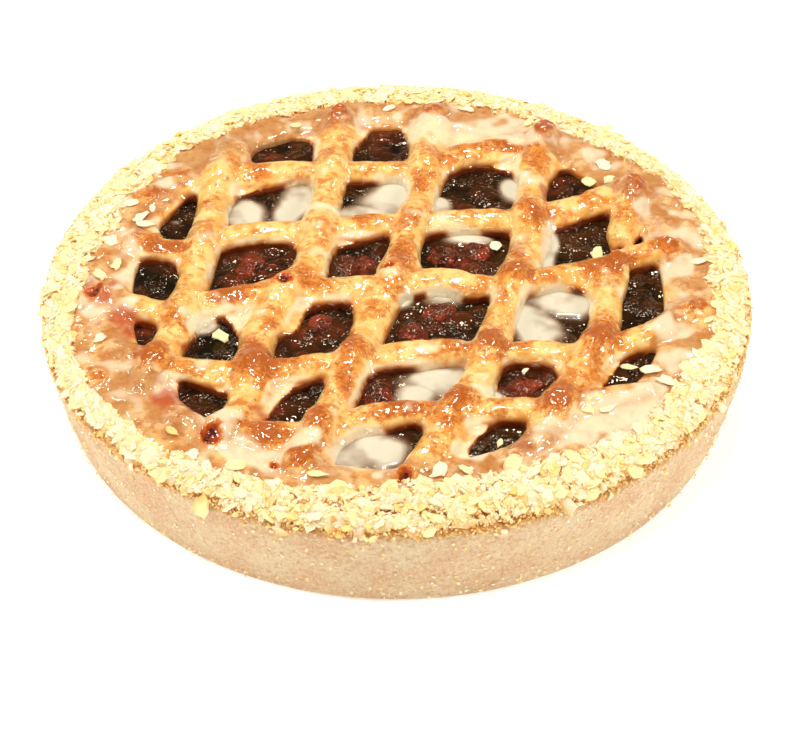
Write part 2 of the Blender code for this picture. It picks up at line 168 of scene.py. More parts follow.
# Browned places: x, y, radius in millimetres and strength
BROWNED = (
    (-58, -11, 11, 0.9), (-45, -85, 8, 0.6), (-50, -46, 9, 0.9), (-88, -44, 8, 0.5), (-84, 66, 8, 0.8),
    (-96, 52, 8, 0.7), (5, 34, 8, 0.8), (50, 36, 8, 0.6), (33, -38, 8, 0.7), (19, -70, 9, 0.8),
    (57, -70, 8, 0.9), (73, -33, 6, 0.9), (20, 80, 9, 0.5), (48, 84, 9, 0.6), (-23, 104, 7, 0.7),
    (58, 91, 8, 1.0), (15, 108, 6, 0.9), (92, 56, 6, 0.8), (101, 20, 8, 0.8), (109, -15, 7, 0.9),
    (83, 8, 7, 0.8), (44, 2, 5, 0.6), (-28, -79, 8, 0.6), (-17, -38, 6, 0.7), (-33, 2, 6, 0.3),
    (-12, 36, 7, 0.5), (-8, -75, 8, 0.5), (5, -73, 6, 0.6), (72, 9, 8, 0.4), (-84, 22, 9, 0.5),
    (-52, 62, 7, 0.3), (11, 76, 7, 0.6), (-68, 22, 7, 0.3), (-97, 24, 8, 0.5), (-33, -100, 8, 0.6),
    (45, -86, 9, 0.5), (-106, -26, 9, 0.8), (93, -24, 8, 0.4), (75, -20, 6, 0.4), (3, 10, 5, 0.4),
)

# Places where the dough lies under pale glaze: x, y, radius in millimetres and strength
PALE_PLACES = (
    (10, 93, 9, 1.0), (28, 94, 9, 1.1), (44, 91, 8, 1.0), (68, -83, 9, 1.1), (80, -74, 9, 1.2),
    (92, -62, 8, 1.1), (-58, -92, 7, 1.0), (-46, -96, 7, 1.0), (17, -10, 4, 0.9), (24, -36, 4, 0.9),
    (33, -66, 4, 0.9), (27, -94, 5, 0.9), (-73, -24, 5, 1.0), (-58, -22, 5, 1.0), (-80, -56, 6, 1.0),
    (-70, -50, 5, 0.8), (-100, 0, 7, 0.9), (-96, -46, 7, 0.8), (-30, -88, 6, 0.8), (100, -30, 7, 0.7),
    (106, 8, 6, 0.6), (94, 44, 7, 0.7), (-88, 62, 7, 0.8), (-104, 30, 6, 0.7), (72, 82, 6, 0.7),
    (-60, -78, 6, 0.9),
)

# Red jelly smeared on the dough: x, y and radius in millimetres
JELLY_STAINS = (
    (-100, -22, 7), (-95, -27, 6), (-108, -10, 5), (-80, -65, 8), (-47, -73, 5), (-55, 76, 5),
    (58, 56, 4), (-112, -1, 5), (-104, -3, 4), (36, -60, 3), (-78, -36, 3),
)

# Milky glaze that has run into gaps and set, its white partly a painted reflection: x, y, half sizes in
# millimetres, turn in degrees
GLAZE_AND_REFLECTION_POOLS = (
    (-56.5, 44, 7, 9.5, 0), (-39.5, 51, 6.5, 12.5, -20), (-3, 53, 10, 11, 0), (-12, 45, 10, 5, 0),
    (15.5, 49, 4.5, 6, 0), (44, 60, 4, 7, 8), (27, 29, 8, 3, 0), (57, 23, 3.2, 19, -4),
    (60, -9, 11, 7, -10), (50, -22, 8, 13, 10), (15, -53, 12, 7.5, 12), (8, -60, 7, 7, 0),
    (-10, -91, 12, 9, 14), (18, -5, 6, 6, 0), (35, -65, 4, 6, 10), (1, -7, 4, 4, 0),
    (-70, -23, 5, 3, 20),
)
FILM_CELL = 0.0006
POOL_EDGE = 0.0392
POOL_TOP = 0.0402

# Where the almond band starts, in millimetres from the middle, every 15 degrees from +X
BAND_EDGE = (
    115, 117.5, 119, 115, 114.5, 114, 114, 113.5, 115, 114.5, 113, 109.5, 115, 120, 122, 120, 115, 113,
    106.5, 108, 109, 114, 112.5, 116,
)


def unit(value):
    """Values kept between 0 and 1."""
    return np.clip(value, 0.0, 1.0)


def smooth_step(value, start, end):
    """0 before the start, 1 past the end and a soft rise between."""
    t = unit((np.asarray(value, float) - start) / (end - start))
    return t * t * (3.0 - 2.0 * t)


def spline(a, b, c, d, t):
    """The place a share t of the way from b to c on a smooth curve through all four."""
    bend = 2 * a - 5 * b + 4 * c - d
    return 0.5 * (2 * b + (c - a) * t + bend * t * t + (3 * b - a - 3 * c + d) * t ** 3)


def polar(radius, angle, height=0.0):
    """Points at a radius and angle round the middle."""
    x = radius * np.cos(angle)
    return np.column_stack([x, radius * np.sin(angle), np.broadcast_to(height, x.shape)])


def noise(points, size, seed, octaves=1):
    """Smooth noise from -1 to 1 at each point, for bumps about as large as size."""
    total = np.zeros(len(points))
    weight = 1.0
    for octave in range(octaves):
        table = np.random.default_rng(seed + octave).uniform(-1.0, 1.0, (NOISE_CELLS,) * 3)
        scaled = np.asarray(points) / size * 2.0 ** octave + 500.0
        cell = np.floor(scaled).astype(int)
        part = scaled - cell
        part = part * part * (3.0 - 2.0 * part)
        value = np.zeros(len(points))
        for corner in range(8):
            step = np.array([(corner >> axis) & 1 for axis in range(3)])
            index = (cell + step) % NOISE_CELLS
            share = np.prod(np.where(step == 1, part, 1.0 - part), axis=1)
            value += share * table[index[:, 0], index[:, 1], index[:, 2]]
        total += value * weight
        weight *= 0.5
    return total / (2.0 - 2.0 ** (1 - octaves))


def around(table, angle):
    """A value from a table of equal steps round the circle, blended between its entries."""
    table = np.array(table, float)
    turn = (np.asarray(angle) / (2.0 * math.pi)) % 1.0 * len(table)
    first = np.floor(turn).astype(int) % len(table)
    blend = smooth_step(turn - np.floor(turn), 0.0, 1.0)
    return table[first] * (1.0 - blend) + table[(first + 1) % len(table)] * blend


def away_from(places, x, y, size):
    """Plan distance from a place given in millimetres, in units of size."""
    return np.hypot(places[:, 0] - x * MM, places[:, 1] - y * MM) / (size * MM)


def nearness(places, x, y, size):
    """1 at a place given in millimetres, fading to 0 a few sizes away."""
    return np.exp(-(away_from(places, x, y, size) ** 2))


def add_object(name, mesh):
    item = bpy.data.objects.new(name, mesh)
    bpy.context.scene.collection.objects.link(item)
    return item


def new_mesh(name, places, faces):
    mesh = bpy.data.meshes.new(name)
    mesh.from_pydata(places, [], faces)
    return mesh


def mesh_from(name, bm):
    """A mesh of what a bmesh holds."""
    mesh = bpy.data.meshes.new(name)
    bm.to_mesh(mesh)
    bm.free()
    return mesh


def vectors(collection, key):
    """One vector for each item of a mesh's vertices or normals, as an array."""
    flat = np.empty(len(collection) * 3)
    collection.foreach_get(key, flat)
    return flat.reshape(-1, 3)


def vertex_array(mesh):
    return vectors(mesh.vertices, "co")


def normal_array(mesh):
    return vectors(mesh.vertex_normals, "vector")


def set_vertices(mesh, places):
    mesh.vertices.foreach_set("co", np.asarray(places, float).ravel())
    mesh.update()


def set_colours(mesh, name, *channels):
    """A colour attribute of up to three channels, each kept between 0 and 1."""
    layer = mesh.attributes.new(name, "FLOAT_COLOR", "POINT")
    values = np.ones((len(mesh.vertices), 4), np.float32)
    for index, channel in enumerate(channels):
        values[:, index] = unit(channel)
    layer.data.foreach_set("color", values.ravel())


def dress(item, material, body="root"):
    item.data.materials.clear()
    item.data.materials.append(material)
    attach(item, body)
    return item


# Materials


def srgb(red, green, blue):
    """A colour as seen on screen, from 0 to 255, as the linear values that shaders take."""
    parts = []
    for value in (red, green, blue):
        value = value / 255.0
        parts.append(value / 12.92 if value <= 0.04045 else ((value + 0.055) / 1.055) ** 2.4)
    return tuple(parts)


class Shader:
    """A Principled material with a few helpers to wire its nodes."""

    def __init__(self, name):
        self.material = bpy.data.materials.new(name)
        self.material.use_nodes = True
        self.tree = self.material.node_tree
        self.main = self.tree.nodes["Principled BSDF"]

    def fill(self, socket, value):
        """Gives an input a value, or links another node's output to it."""
        if isinstance(value, bpy.types.NodeSocket):
            self.tree.links.new(value, socket)
        else:
            socket.default_value = value

    def fill_all(self, node, inputs):
        for key, value in inputs.items():
            self.fill(node.inputs[key.replace("_", " ")], value)
        return node

    def set(self, **inputs):
        self.fill_all(self.main, inputs)

    def node(self, kind, **inputs):
        return self.fill_all(self.tree.nodes.new(kind), inputs)

    def noise(self, scale, detail=2.0, roughness=0.5):
        where = self.node("ShaderNodeTexCoord").outputs["Object"]
        node = self.node("ShaderNodeTexNoise", Vector=where, Scale=scale, Detail=detail,
                         Roughness=roughness)
        return node.outputs["Fac"]

    def range(self, value, low, high, to_low=0.0, to_high=1.0):
        node = self.node("ShaderNodeMapRange", Value=value, From_Min=low, From_Max=high,
                         To_Min=to_low, To_Max=to_high)
        node.interpolation_type = "SMOOTHSTEP"
        return node.outputs["Result"]

    def math(self, operation, first, second):
        node = self.tree.nodes.new("ShaderNodeMath")
        node.operation = operation
        self.fill(node.inputs[0], first)
        self.fill(node.inputs[1], second)
        return node.outputs[0]

    def times(self, first, second):
        return self.math("MULTIPLY", first, second)

    def plus(self, first, second, amount):
        """The first value and an amount of the second."""
        return self.math("ADD", first, self.times(second, amount))

    def mix(self, share, first, second, amount=None):
        """From one colour to another by a share, or by a share times an amount."""
        node = self.tree.nodes.new("ShaderNodeMix")
        node.data_type = "RGBA"
        self.fill(node.inputs[0], share if amount is None else self.times(share, amount))
        for key, value in ((6, first), (7, second)):
            self.fill(node.inputs[key], (*srgb(*value), 1.0) if isinstance(value, tuple) else value)
        return node.outputs[2]

    def attribute(self, name):
        """The three channels of a colour attribute, then the whole colour."""
        node = self.tree.nodes.new("ShaderNodeAttribute")
        node.attribute_name = name
        colour = node.outputs["Color"]
        parts = self.node("ShaderNodeSeparateColor", Color=colour).outputs
        return parts["Red"], parts["Green"], parts["Blue"], colour

    def bump(self, height, strength, distance, before=None):
        node = self.node("ShaderNodeBump", Height=height, Strength=strength, Distance=distance)
        if before is not None:
            self.fill(node.inputs["Normal"], before)
        return node.outputs["Normal"]


def lattice_material():
    """Golden dough, browned on the ridges, pale and milky where glaze runs down its sides, with painted
    shade in its creases and on the openings' low walls.
    """
    s = Shader("glazed_lattice_dough")
    brown, pale, burn, _ = s.attribute("bake")
    dusk, rim_shade, jelly, _ = s.attribute("dusk_rim_shade_jelly")
    milk_and_sheen, hollow_shade, _, _ = s.attribute("cover")
    grain = s.noise(700.0, 4.0, 0.7)
    mottle = s.noise(170.0, 4.0, 0.6)
    broad = s.noise(75.0, 2.0, 0.5)
    toast = s.noise(300.0, 4.0, 0.65)
    colour = s.mix(s.range(mottle, 0.38, 0.64), (248, 210, 134), (236, 172, 86))
    patch = s.range(s.plus(brown, toast, 2.6), 1.34, 1.92)
    colour = s.mix(patch, colour, (212, 122, 44), 0.88)
    deep = s.range(s.plus(brown, grain, 2.4), 1.60, 2.12)
    colour = s.mix(deep, colour, (166, 76, 24), 0.8)
    drip = s.plus(s.times(broad, 1.3), toast, 0.2)
    cream = s.range(s.math("ADD", pale, drip), 0.94, 1.52)
    colour = s.mix(cream, colour, (248, 229, 188), 0.84)
    dull = s.mix(s.range(s.noise(110.0, 4.0, 0.6), 0.40, 0.58), (228, 184, 134), (186, 118, 70))
    dull = s.mix(s.range(toast, 0.46, 0.60, 0.0, 0.5), dull, (160, 84, 36))
    dull = s.mix(s.range(dusk, 0.80, 1.0, 0.0, 0.65), dull, (170, 102, 54))
    dull = s.mix(cream, dull, (240, 222, 190), 0.8)
    haze = s.range(s.plus(dusk, broad, 0.5), 0.50, 0.95)
    colour = s.mix(haze, colour, dull, 0.78)
    # Orange-brown in creases and hollows: partly pooled glaze, partly painted shade.
    colour = s.mix(hollow_shade, colour, (200, 114, 50), 0.5)
    # Painted shade on the openings' low walls: orange-brown, then near-black.
    colour = s.mix(s.range(rim_shade, 0.0, 0.5, 0.0, 0.9), colour, (206, 122, 50))
    colour = s.mix(s.range(rim_shade, 0.35, 0.85), colour, (110, 44, 12))
    # Milky where the pale pools meet the dough, partly a painted reflection.
    colour = s.mix(milk_and_sheen, colour, (228, 214, 184))
    colour = s.mix(jelly, colour, (182, 66, 34), 0.72)
    torn = s.plus(burn, toast, 1.2)
    colour = s.mix(s.range(torn, 0.82, 1.06), colour, (212, 120, 46))
    colour = s.mix(s.range(torn, 1.08, 1.30), colour, (172, 66, 18))
    colour = s.mix(s.range(torn, 1.38, 1.56), colour, (84, 24, 8))
    rough = s.bump(mottle, 0.30, 0.0016, s.bump(grain, 0.35, 0.0006))
    wrinkled = s.plus(s.math("ADD", brown, s.noise(70.0, 1.0)), dusk, -0.55)
    uneven = s.range(wrinkled, 0.35, 1.05, 0.22, 1.0)
    glaze = s.bump(s.times(s.noise(480.0, 0.0), uneven), 0.22, 0.0008)
    glaze = s.bump(s.times(s.noise(180.0, 1.0), uneven), 0.80, 0.0018, glaze)
    s.set(Base_Color=colour, Normal=rough, Coat_Normal=glaze, Roughness=0.40,
          Coat_Weight=0.9, Coat_Roughness=0.045, Coat_IOR=1.6, Specular_IOR_Level=0.05,
          Subsurface_Weight=0.06, Subsurface_Radius=(0.0018, 0.0013, 0.0007), Subsurface_Scale=1.0)
    return s.material


def jam_material():
    """Nearly black jam with redder pulp, wet and sparkling in patches."""
    s = Shader("dark_cherry_jam")
    red, lump, _, _ = s.attribute("fruit")
    colour = s.mix(s.range(s.noise(85.0, 3.0, 0.6), 0.42, 0.70), (26, 19, 8), (60, 34, 14))
    colour = s.mix(lump, colour, (84, 42, 20), 0.5)
    ripe = s.times(red, s.range(s.noise(260.0, 4.0, 0.65), 0.38, 0.62, 0.25, 0.9))
    colour = s.mix(ripe, colour, (132, 52, 30))
    sparkle = s.times(s.noise(760.0, 0.0), s.range(s.noise(110.0, 1.0), 0.46, 0.64))
    wet = s.bump(s.noise(300.0, 1.0), 0.45, 0.0016, s.bump(sparkle, 0.65, 0.0012))
    s.set(Base_Color=colour, Normal=wet, Roughness=0.05, Specular_IOR_Level=0.40,
          Specular_Tint=(1.0, 0.86, 0.66, 1.0))
    return s.material


def cherry_material():
    """Dark red, wrinkled skin under a film of jam."""
    s = Shader("cooked_cherry_skin")
    colour = s.mix(s.range(s.noise(130.0, 4.0, 0.65), 0.40, 0.62), (62, 27, 14), (138, 54, 34))
    s.set(Base_Color=colour, Normal=s.bump(s.noise(420.0, 1.0), 0.9, 0.0016), Roughness=0.08,
          Specular_IOR_Level=0.45, Specular_Tint=(1.0, 0.88, 0.74, 1.0),
          Subsurface_Weight=0.06, Subsurface_Radius=(0.003, 0.0006, 0.0003), Subsurface_Scale=1.0)
    return s.material


def glaze_and_reflection_material():
    """Milky where it is thick, thinning to nothing at its free edges; its milky white is partly a
    painted reflection.
    """
    s = Shader("milky_glaze_and_painted_reflection")
    thick, _, _, _ = s.attribute("edge")
    cloud = s.times(thick, s.range(s.noise(80.0, 2.0, 0.5), 0.30, 0.62, 0.66, 1.10))
    colour = s.mix(s.range(cloud, 0.3, 1.0), (198, 164, 132), (222, 213, 190))
    s.set(Base_Color=colour, Alpha=s.range(cloud, 0.0, 1.0, 0.0, 0.96),
          Normal=s.bump(s.noise(80.0, 1.0), 0.20, 0.0016), Roughness=0.25, Coat_Weight=0.4,
          Coat_Roughness=0.04, Specular_IOR_Level=0.3)
    return s.material


def crust_material():
    """Sandy baked shortcrust, paler in crumbs, darker in pits as painted shade and golden at the top of
    the side.
    """
    s = Shader("baked_shortcrust")
    pit_shade, top, _, _ = s.attribute("place")
    crumb = s.noise(1000.0, 5.0, 0.75)
    grain = s.noise(640.0, 4.0, 0.7)
    broad = s.noise(40.0, 4.0, 0.6)
    colour = s.mix(s.range(broad, 0.36, 0.64), (254, 226, 184), (244, 198, 154))
    colour = s.mix(s.range(grain, 0.46, 0.64, 0.0, 0.65), colour, (228, 174, 118))
    colour = s.mix(s.range(crumb, 0.51, 0.63, 0.0, 0.85), colour, (255, 238, 200))
    # Painted shade: darker in the pits.
    colour = s.mix(s.range(pit_shade, 0.10, 0.60, 0.0, 0.7), colour, (208, 146, 90))
    golden = s.mix(s.range(grain, 0.42, 0.58), (250, 214, 138), (222, 146, 70))
    rough = s.bump(grain, 0.8, 0.0016, s.bump(crumb, 0.8, 0.0010))
    s.set(Base_Color=s.mix(top, colour, golden), Normal=rough, Roughness=0.85, Specular_IOR_Level=0.2)
    return s.material


def almond_material():
    """Pale blanched almond, each piece its own shade, with toasted flecks and a faint warm painted glow
    that lightens its shadows.
    """
    s = Shader("chopped_almond")
    tint = s.attribute("tint")[3]
    fleck = s.range(s.noise(500.0, 4.0, 0.7), 0.56, 0.76)
    # The faint warm emission is painted light: a glow that lifts the pieces' shadows.
    s.set(Base_Color=s.mix(fleck, tint, (250, 214, 140), 0.45),
          Normal=s.bump(s.noise(700.0, 3.0, 0.6), 0.3, 0.0006), Roughness=0.5, Specular_IOR_Level=0.3,
          Subsurface_Weight=0.5, Subsurface_Radius=(0.0030, 0.0024, 0.0015), Subsurface_Scale=1.0,
          Emission_Color=(1.0, 0.60, 0.24, 1.0), Emission_Strength=0.08)
    return s.material


# Lattice


def smooth_path(points):
    """Plan points a step apart along a Catmull-Rom curve through the given ones, in metres."""
    knots = np.array(points, float) * MM
    knots = np.vstack([2 * knots[0] - knots[1], knots, 2 * knots[-1] - knots[-2]])
    fine = []
    for a, b, c, d in zip(knots, knots[1:], knots[2:], knots[3:]):
        for t in np.arange(0.0, 1.0, 0.05):
            fine.append(spline(a, b, c, d, t))
    fine.append(knots[-2])
    fine = np.array(fine)
    along = np.concatenate([[0.0], np.cumsum(np.linalg.norm(np.diff(fine, axis=0), axis=1))])
    count = max(3, round(along[-1] / PATH_STEP))
    wanted = np.linspace(0.0, along[-1], count + 1)
    return np.stack([np.interp(wanted, along, fine[:, axis]) for axis in range(2)], axis=1)


UPPER_PATHS = [smooth_path(points) for points in UPPER_STRANDS]
LOWER_PATHS = [smooth_path(points) for points in LOWER_STRANDS]


def distance_to(points, targets):
    """Plan distance from each point to the nearest target."""
    tree = KDTree(len(targets))
    for index, (x, y) in enumerate(targets.tolist()):
        tree.insert((x, y, 0.0), index)
    tree.balance()
    return np.array([tree.find((x, y, 0.0))[2] for x, y in points[:, :2].tolist()])


def sweep(bm, path, heights, radii, sides=14):
    """A closed tube along plan points, with a height and radius at each."""
    rings = []
    ahead = np.gradient(path, axis=0)
    ahead /= np.linalg.norm(ahead, axis=1)[:, None]
    for place, direction, height, radius in zip(path, ahead, heights, radii):
        across = Vector((direction[1], -direction[0], 0.0))
        ring = []
        for side in range(sides):
            angle = 2.0 * math.pi * side / sides
            offset = across * math.cos(angle) * radius + Vector((0.0, 0.0, math.sin(angle) * radius))
            ring.append(bm.verts.new(Vector((place[0], place[1], height)) + offset))
        rings.append(ring)
    for first, second in zip(rings, rings[1:]):
        for side in range(sides):
            other = (side + 1) % sides
            bm.faces.new((first[side], first[other], second[other], second[side]))
    bm.faces.new(list(reversed(rings[0])))
    bm.faces.new(rings[-1])


def add_strand(bm, path, others, rise, seed):
    """A strand that rises or dips where the others cross it, thinner at its ends."""
    near = np.exp(-((distance_to(path, others) / CROSSING_REACH) ** 2))
    places = np.column_stack([path, np.full(len(path), seed * 0.31)])
    heights = STRAND_AXIS + rise * near + 0.0005 * noise(places, 0.022, 40 + seed)
    knuckle = 0.13 * max(rise, 0.0) / UPPER_LIFT * near
    radii = STRAND_RADIUS * (1.0 + 0.10 * noise(places, 0.017, 70 + seed, 2) + knuckle)
    last = len(path) - 1
    for index in range(len(path)):
        end = 1.0 - float(smooth_step(min(index, last - index) * PATH_STEP, 0.0, 0.009))
        radii[index] *= 1.0 - 0.32 * end
        heights[index] += 0.0014 * end
    sweep(bm, path, heights, radii)


def add_ring(bm, steps=300):
    """The glazed dough ring round the well, ending just over the case's shoulder."""
    rings = []
    for step in range(steps):
        angle = 2.0 * math.pi * step / steps
        inner = WELL_RADIUS - 0.0030 + 0.6 * float(around(WELL_SHIFT, angle))
        section = (
            (inner, WEB_BOTTOM), (inner, 0.0410), (inner + 0.0020, 0.0424), (inner + 0.0060, 0.0430),
            (0.1120, RING_TOP), (0.1160, 0.0429), (0.1200, 0.0423), (RING_REACH, 0.0411),
            (RING_REACH, 0.0385), (0.1120, WEB_BOTTOM),
        )
        ring = [bm.verts.new((radius * math.cos(angle), radius * math.sin(angle), height))
                for radius, height in section]
        rings.append(ring)
    for step in range(steps):
        first = rings[step]
        second = rings[(step + 1) % steps]
        for side in range(len(first)):
            other = (side + 1) % len(first)
            bm.faces.new((first[other], first[side], second[side], second[other]))


def closed_curve(outline, steps=14):
    """A rounded closed line through the points of an outline."""
    before = np.roll(outline, 1, axis=0)
    after = np.roll(outline, -1, axis=0)
    later = np.roll(outline, -2, axis=0)
    rounded = [spline(before, outline, after, later, t) for t in np.arange(steps) / steps]
    return np.stack(rounded, axis=1).reshape(-1, 2)


def true_opening(points):
    """An opening's outline as it lies, from the outline that the camera sees."""
    outline = closed_curve(np.array(points, float))
    low, high = outline[:, 1].min(), outline[:, 1].max()
    share = (outline[:, 1] - low) / (high - low)
    outline[:, 1] += NEAR_RIM_SHIFT + (FAR_RIM_SHIFT - NEAR_RIM_SHIFT) * share
    return outline * MM


def inside_outline(x, y, outline):
    """Which of many points lie inside a closed outline."""
    inside = np.zeros(x.shape, bool)
    for (x0, y0), (x1, y1) in zip(outline, np.roll(outline, -1, axis=0)):
        crosses = (y0 > y) != (y1 > y)
        slope = (x1 - x0) / (y1 - y0) if y1 != y0 else 0.0
        inside ^= crosses & (x < x0 + (y - y0) * slope)
    return inside


def slab_from_squares(kept, xs, ys, top, bottom):
    """A closed mesh of the kept grid squares, between two heights given at the grid's corners."""
    rows, columns = np.nonzero(kept)
    corners = ((0, 0), (0, 1), (1, 1), (1, 0))
    index = {}
    places = []
    faces = []

    def point(row, column, level):
        key = (row, column, level)
        if key not in index:
            index[key] = len(places)
            height = top[row, column] if level else bottom[row, column]
            places.append((xs[column], ys[row], height))
        return index[key]

    for row, column in zip(rows.tolist(), columns.tolist()):
        upper = [point(row + a, column + b, 1) for a, b in corners]
        lower = [point(row + a, column + b, 0) for a, b in corners]
        faces.append(tuple(upper))
        faces.append(tuple(reversed(lower)))
        for side, (dr, dc) in enumerate(((-1, 0), (0, 1), (1, 0), (0, -1))):
            if not kept[row + dr, column + dc]:
                other = (side + 1) % 4
                faces.append((upper[other], upper[side], lower[side], lower[other]))
    return new_mesh("slab", places, faces)


def pool_depth(points, pools=None):
    """How far inside a pale pool, glaze partly painted as a reflection, each point is: 0 at its rim,
    about 1 in its middle.
    """
    depth = np.full(len(points), -1.0)
    for pool_x, pool_y, half_x, half_y, turn in pools or GLAZE_AND_REFLECTION_POOLS:
        angle = math.radians(turn)
        dx = points[:, 0] - pool_x * MM
        dy = points[:, 1] - pool_y * MM
        along = (dx * math.cos(angle) + dy * math.sin(angle)) / (half_x * MM)
        across = (-dx * math.sin(angle) + dy * math.cos(angle)) / (half_y * MM)
        depth = np.maximum(depth, 1.0 - np.hypot(along, across))
    flat = points * np.array([1.0, 1.0, 0.0])
    return depth + 0.30 * noise(flat, 0.0085, 7) + 0.07 * noise(flat, 0.0034, 8)


def strand_tops(points):
    """Height of the dough over each plan point, as the strands alone would leave it."""
    to_upper = distance_to(points, np.vstack(UPPER_PATHS))
    to_lower = distance_to(points, np.vstack(LOWER_PATHS))
    lift = UPPER_LIFT * np.exp(-((to_lower / CROSSING_REACH) ** 2))
    dip = LOWER_DIP * np.exp(-((to_upper / CROSSING_REACH) ** 2))
    crest = STRAND_AXIS + STRAND_RADIUS - WEB_TOP
    over = (crest + lift) * unit(1.0 - (to_upper / DOUGH_REACH) ** 2) ** 0.8
    under = (crest - dip) * unit(1.0 - (to_lower / DOUGH_REACH) ** 2) ** 0.8
    return WEB_TOP + np.maximum(over, under)


def add_webs(bm):
    """Dough that swells out to the openings' rounded rims."""
    xs = np.arange(-0.106, 0.1061, WEB_CELL)
    ys = np.arange(-0.108, 0.1081, WEB_CELL)
    x, y = np.meshgrid((xs[:-1] + xs[1:]) / 2, (ys[:-1] + ys[1:]) / 2)
    kept = np.hypot(x, y) < WEB_RADIUS
    outlines = [true_opening(points) for points in OPENINGS]
    for outline in outlines:
        kept &= ~inside_outline(x, y, outline)
    grid_x, grid_y = np.meshgrid(xs, ys)
    corners = np.column_stack([grid_x.ravel(), grid_y.ravel(), np.zeros(grid_x.size)])
    inward = unit((distance_to(corners, np.vstack(outlines)) - 0.0003) / RIM_REACH)
    rim_height = STRAND_AXIS + STRAND_RADIUS + UPPER_LIFT - RIM_BASE
    rounded = RIM_BASE + rim_height * np.sqrt(1.0 - (1.0 - inward) ** 2)
    top = np.minimum(rounded, strand_tops(corners)).reshape(grid_x.shape)
    slab = slab_from_squares(kept, xs, ys, top, np.full(top.shape, WEB_BOTTOM))
    bm.from_mesh(slab)
    bpy.data.meshes.remove(slab)


def remeshed(name, bm, voxel):
    """One closed skin round everything in a bmesh."""
    bmesh.ops.recalc_face_normals(bm, faces=bm.faces)
    mesh = mesh_from(name, bm)
    item = add_object(name, mesh)
    modifier = item.modifiers.new("skin", "REMESH")
    modifier.mode = "VOXEL"
    modifier.voxel_size = voxel
    graph = bpy.context.evaluated_depsgraph_get()
    result = bpy.data.meshes.new_from_object(item.evaluated_get(graph))
    item.modifiers.clear()
    item.data = result
    bpy.data.meshes.remove(mesh)
    return item


def relaxed(mesh, rounds, amount=0.5):
    """A mesh's points, evened out so that corners between strands fill in like soft dough."""
    places = vertex_array(mesh)
    pairs = np.empty(len(mesh.edges) * 2, int)
    mesh.edges.foreach_get("vertices", pairs)
    first, second = pairs.reshape(-1, 2).T
    count = np.bincount(first, minlength=len(places)) + np.bincount(second, minlength=len(places))
    for _ in range(rounds):
        total = np.zeros_like(places)
        for axis in range(3):
            total[:, axis] = np.bincount(first, places[second, axis], len(places))
            total[:, axis] += np.bincount(second, places[first, axis], len(places))
        places += amount * (total / count[:, None] - places)
    return places


def crease_shade_share(mesh, places, normals):
    """1 in deep creases and hollows, 0 on flat dough and ridges; the dough goes orange-brown there,
    partly from glaze pooled in them and partly as painted shade.
    """
    return unit(((relaxed(mesh, 14) - places) * normals).sum(axis=1) / 0.00045)


def blister(places, x, y, radius, depth):
    """How much a blister lifts each point, and how far into its dark burst middle it is."""
    away = away_from(places, x, y, radius)
    away = away * (1.0 + 0.35 * noise(places, 0.0032, int(abs(x) * 7 + abs(y)), 2))
    rim = np.exp(-((away - 0.62) / 0.26) ** 2)
    middle = np.exp(-((away / 0.42) ** 4))
    ragged = 0.45 * noise(places, 0.0016, 47, 2) * np.exp(-((away / 0.7) ** 2))
    lift = 0.8 * rim - depth * middle + ragged * smooth_step(depth, 0.2, 1.0)
    return lift * MM, np.exp(-((away / 0.60) ** 2)) * smooth_step(depth, 0.2, 1.4)


def knob_share(places, x, y, radius):
    """1 on top of a knob, falling to 0 at its uneven rim."""
    away = away_from(places, x, y, radius)
    away = away * (1.0 + 0.28 * noise(places, 0.0050, int(abs(x) * 5 + abs(y)), 2))
    return 1.0 - smooth_step(away, 0.10, 1.15)


def make_lattice():
    """Strands, webs and ring fused into one skin, then swollen, knobbed and blistered."""
    bm = bmesh.new()
    upper = np.vstack(UPPER_PATHS)
    lower = np.vstack(LOWER_PATHS)
    for index, path in enumerate(UPPER_PATHS):
        add_strand(bm, path, lower, UPPER_LIFT, index)
    for index, path in enumerate(LOWER_PATHS):
        add_strand(bm, path, upper, -LOWER_DIP, 10 + index)
    add_webs(bm)
    add_ring(bm)
    item = remeshed("lattice", bm, SKIN_CELL)
    mesh = item.data
    set_vertices(mesh, relaxed(mesh, SKIN_ROUNDS))
    places = vertex_array(mesh)
    normals = normal_array(mesh)
    top = smooth_step(places[:, 2], 0.0402, 0.0418)
    swell = 0.00055 * noise(places, 0.0075, 3, 2) + 0.00028 * noise(places, 0.0028, 5, 2)
    ring = smooth_step(np.hypot(places[:, 0], places[:, 1]), 0.094, 0.104)
    swell += ring * 0.0010 * noise(places, 0.0100, 9, 3)
    places += normals * (swell * top)[:, None]
    for x, y, radius, height in KNOBS:
        places[:, 2] += knob_share(places, x, y, radius) * height * MM * top
    burn = np.zeros(len(places))
    for x, y, radius, depth in BLISTERS:
        lift, dark = blister(places, x, y, radius, depth)
        places[:, 2] += lift * top
        burn = np.maximum(burn, dark * top)
    set_vertices(mesh, places)
    paint_lattice(mesh, places, burn)
    mesh.shade_smooth()
    return item


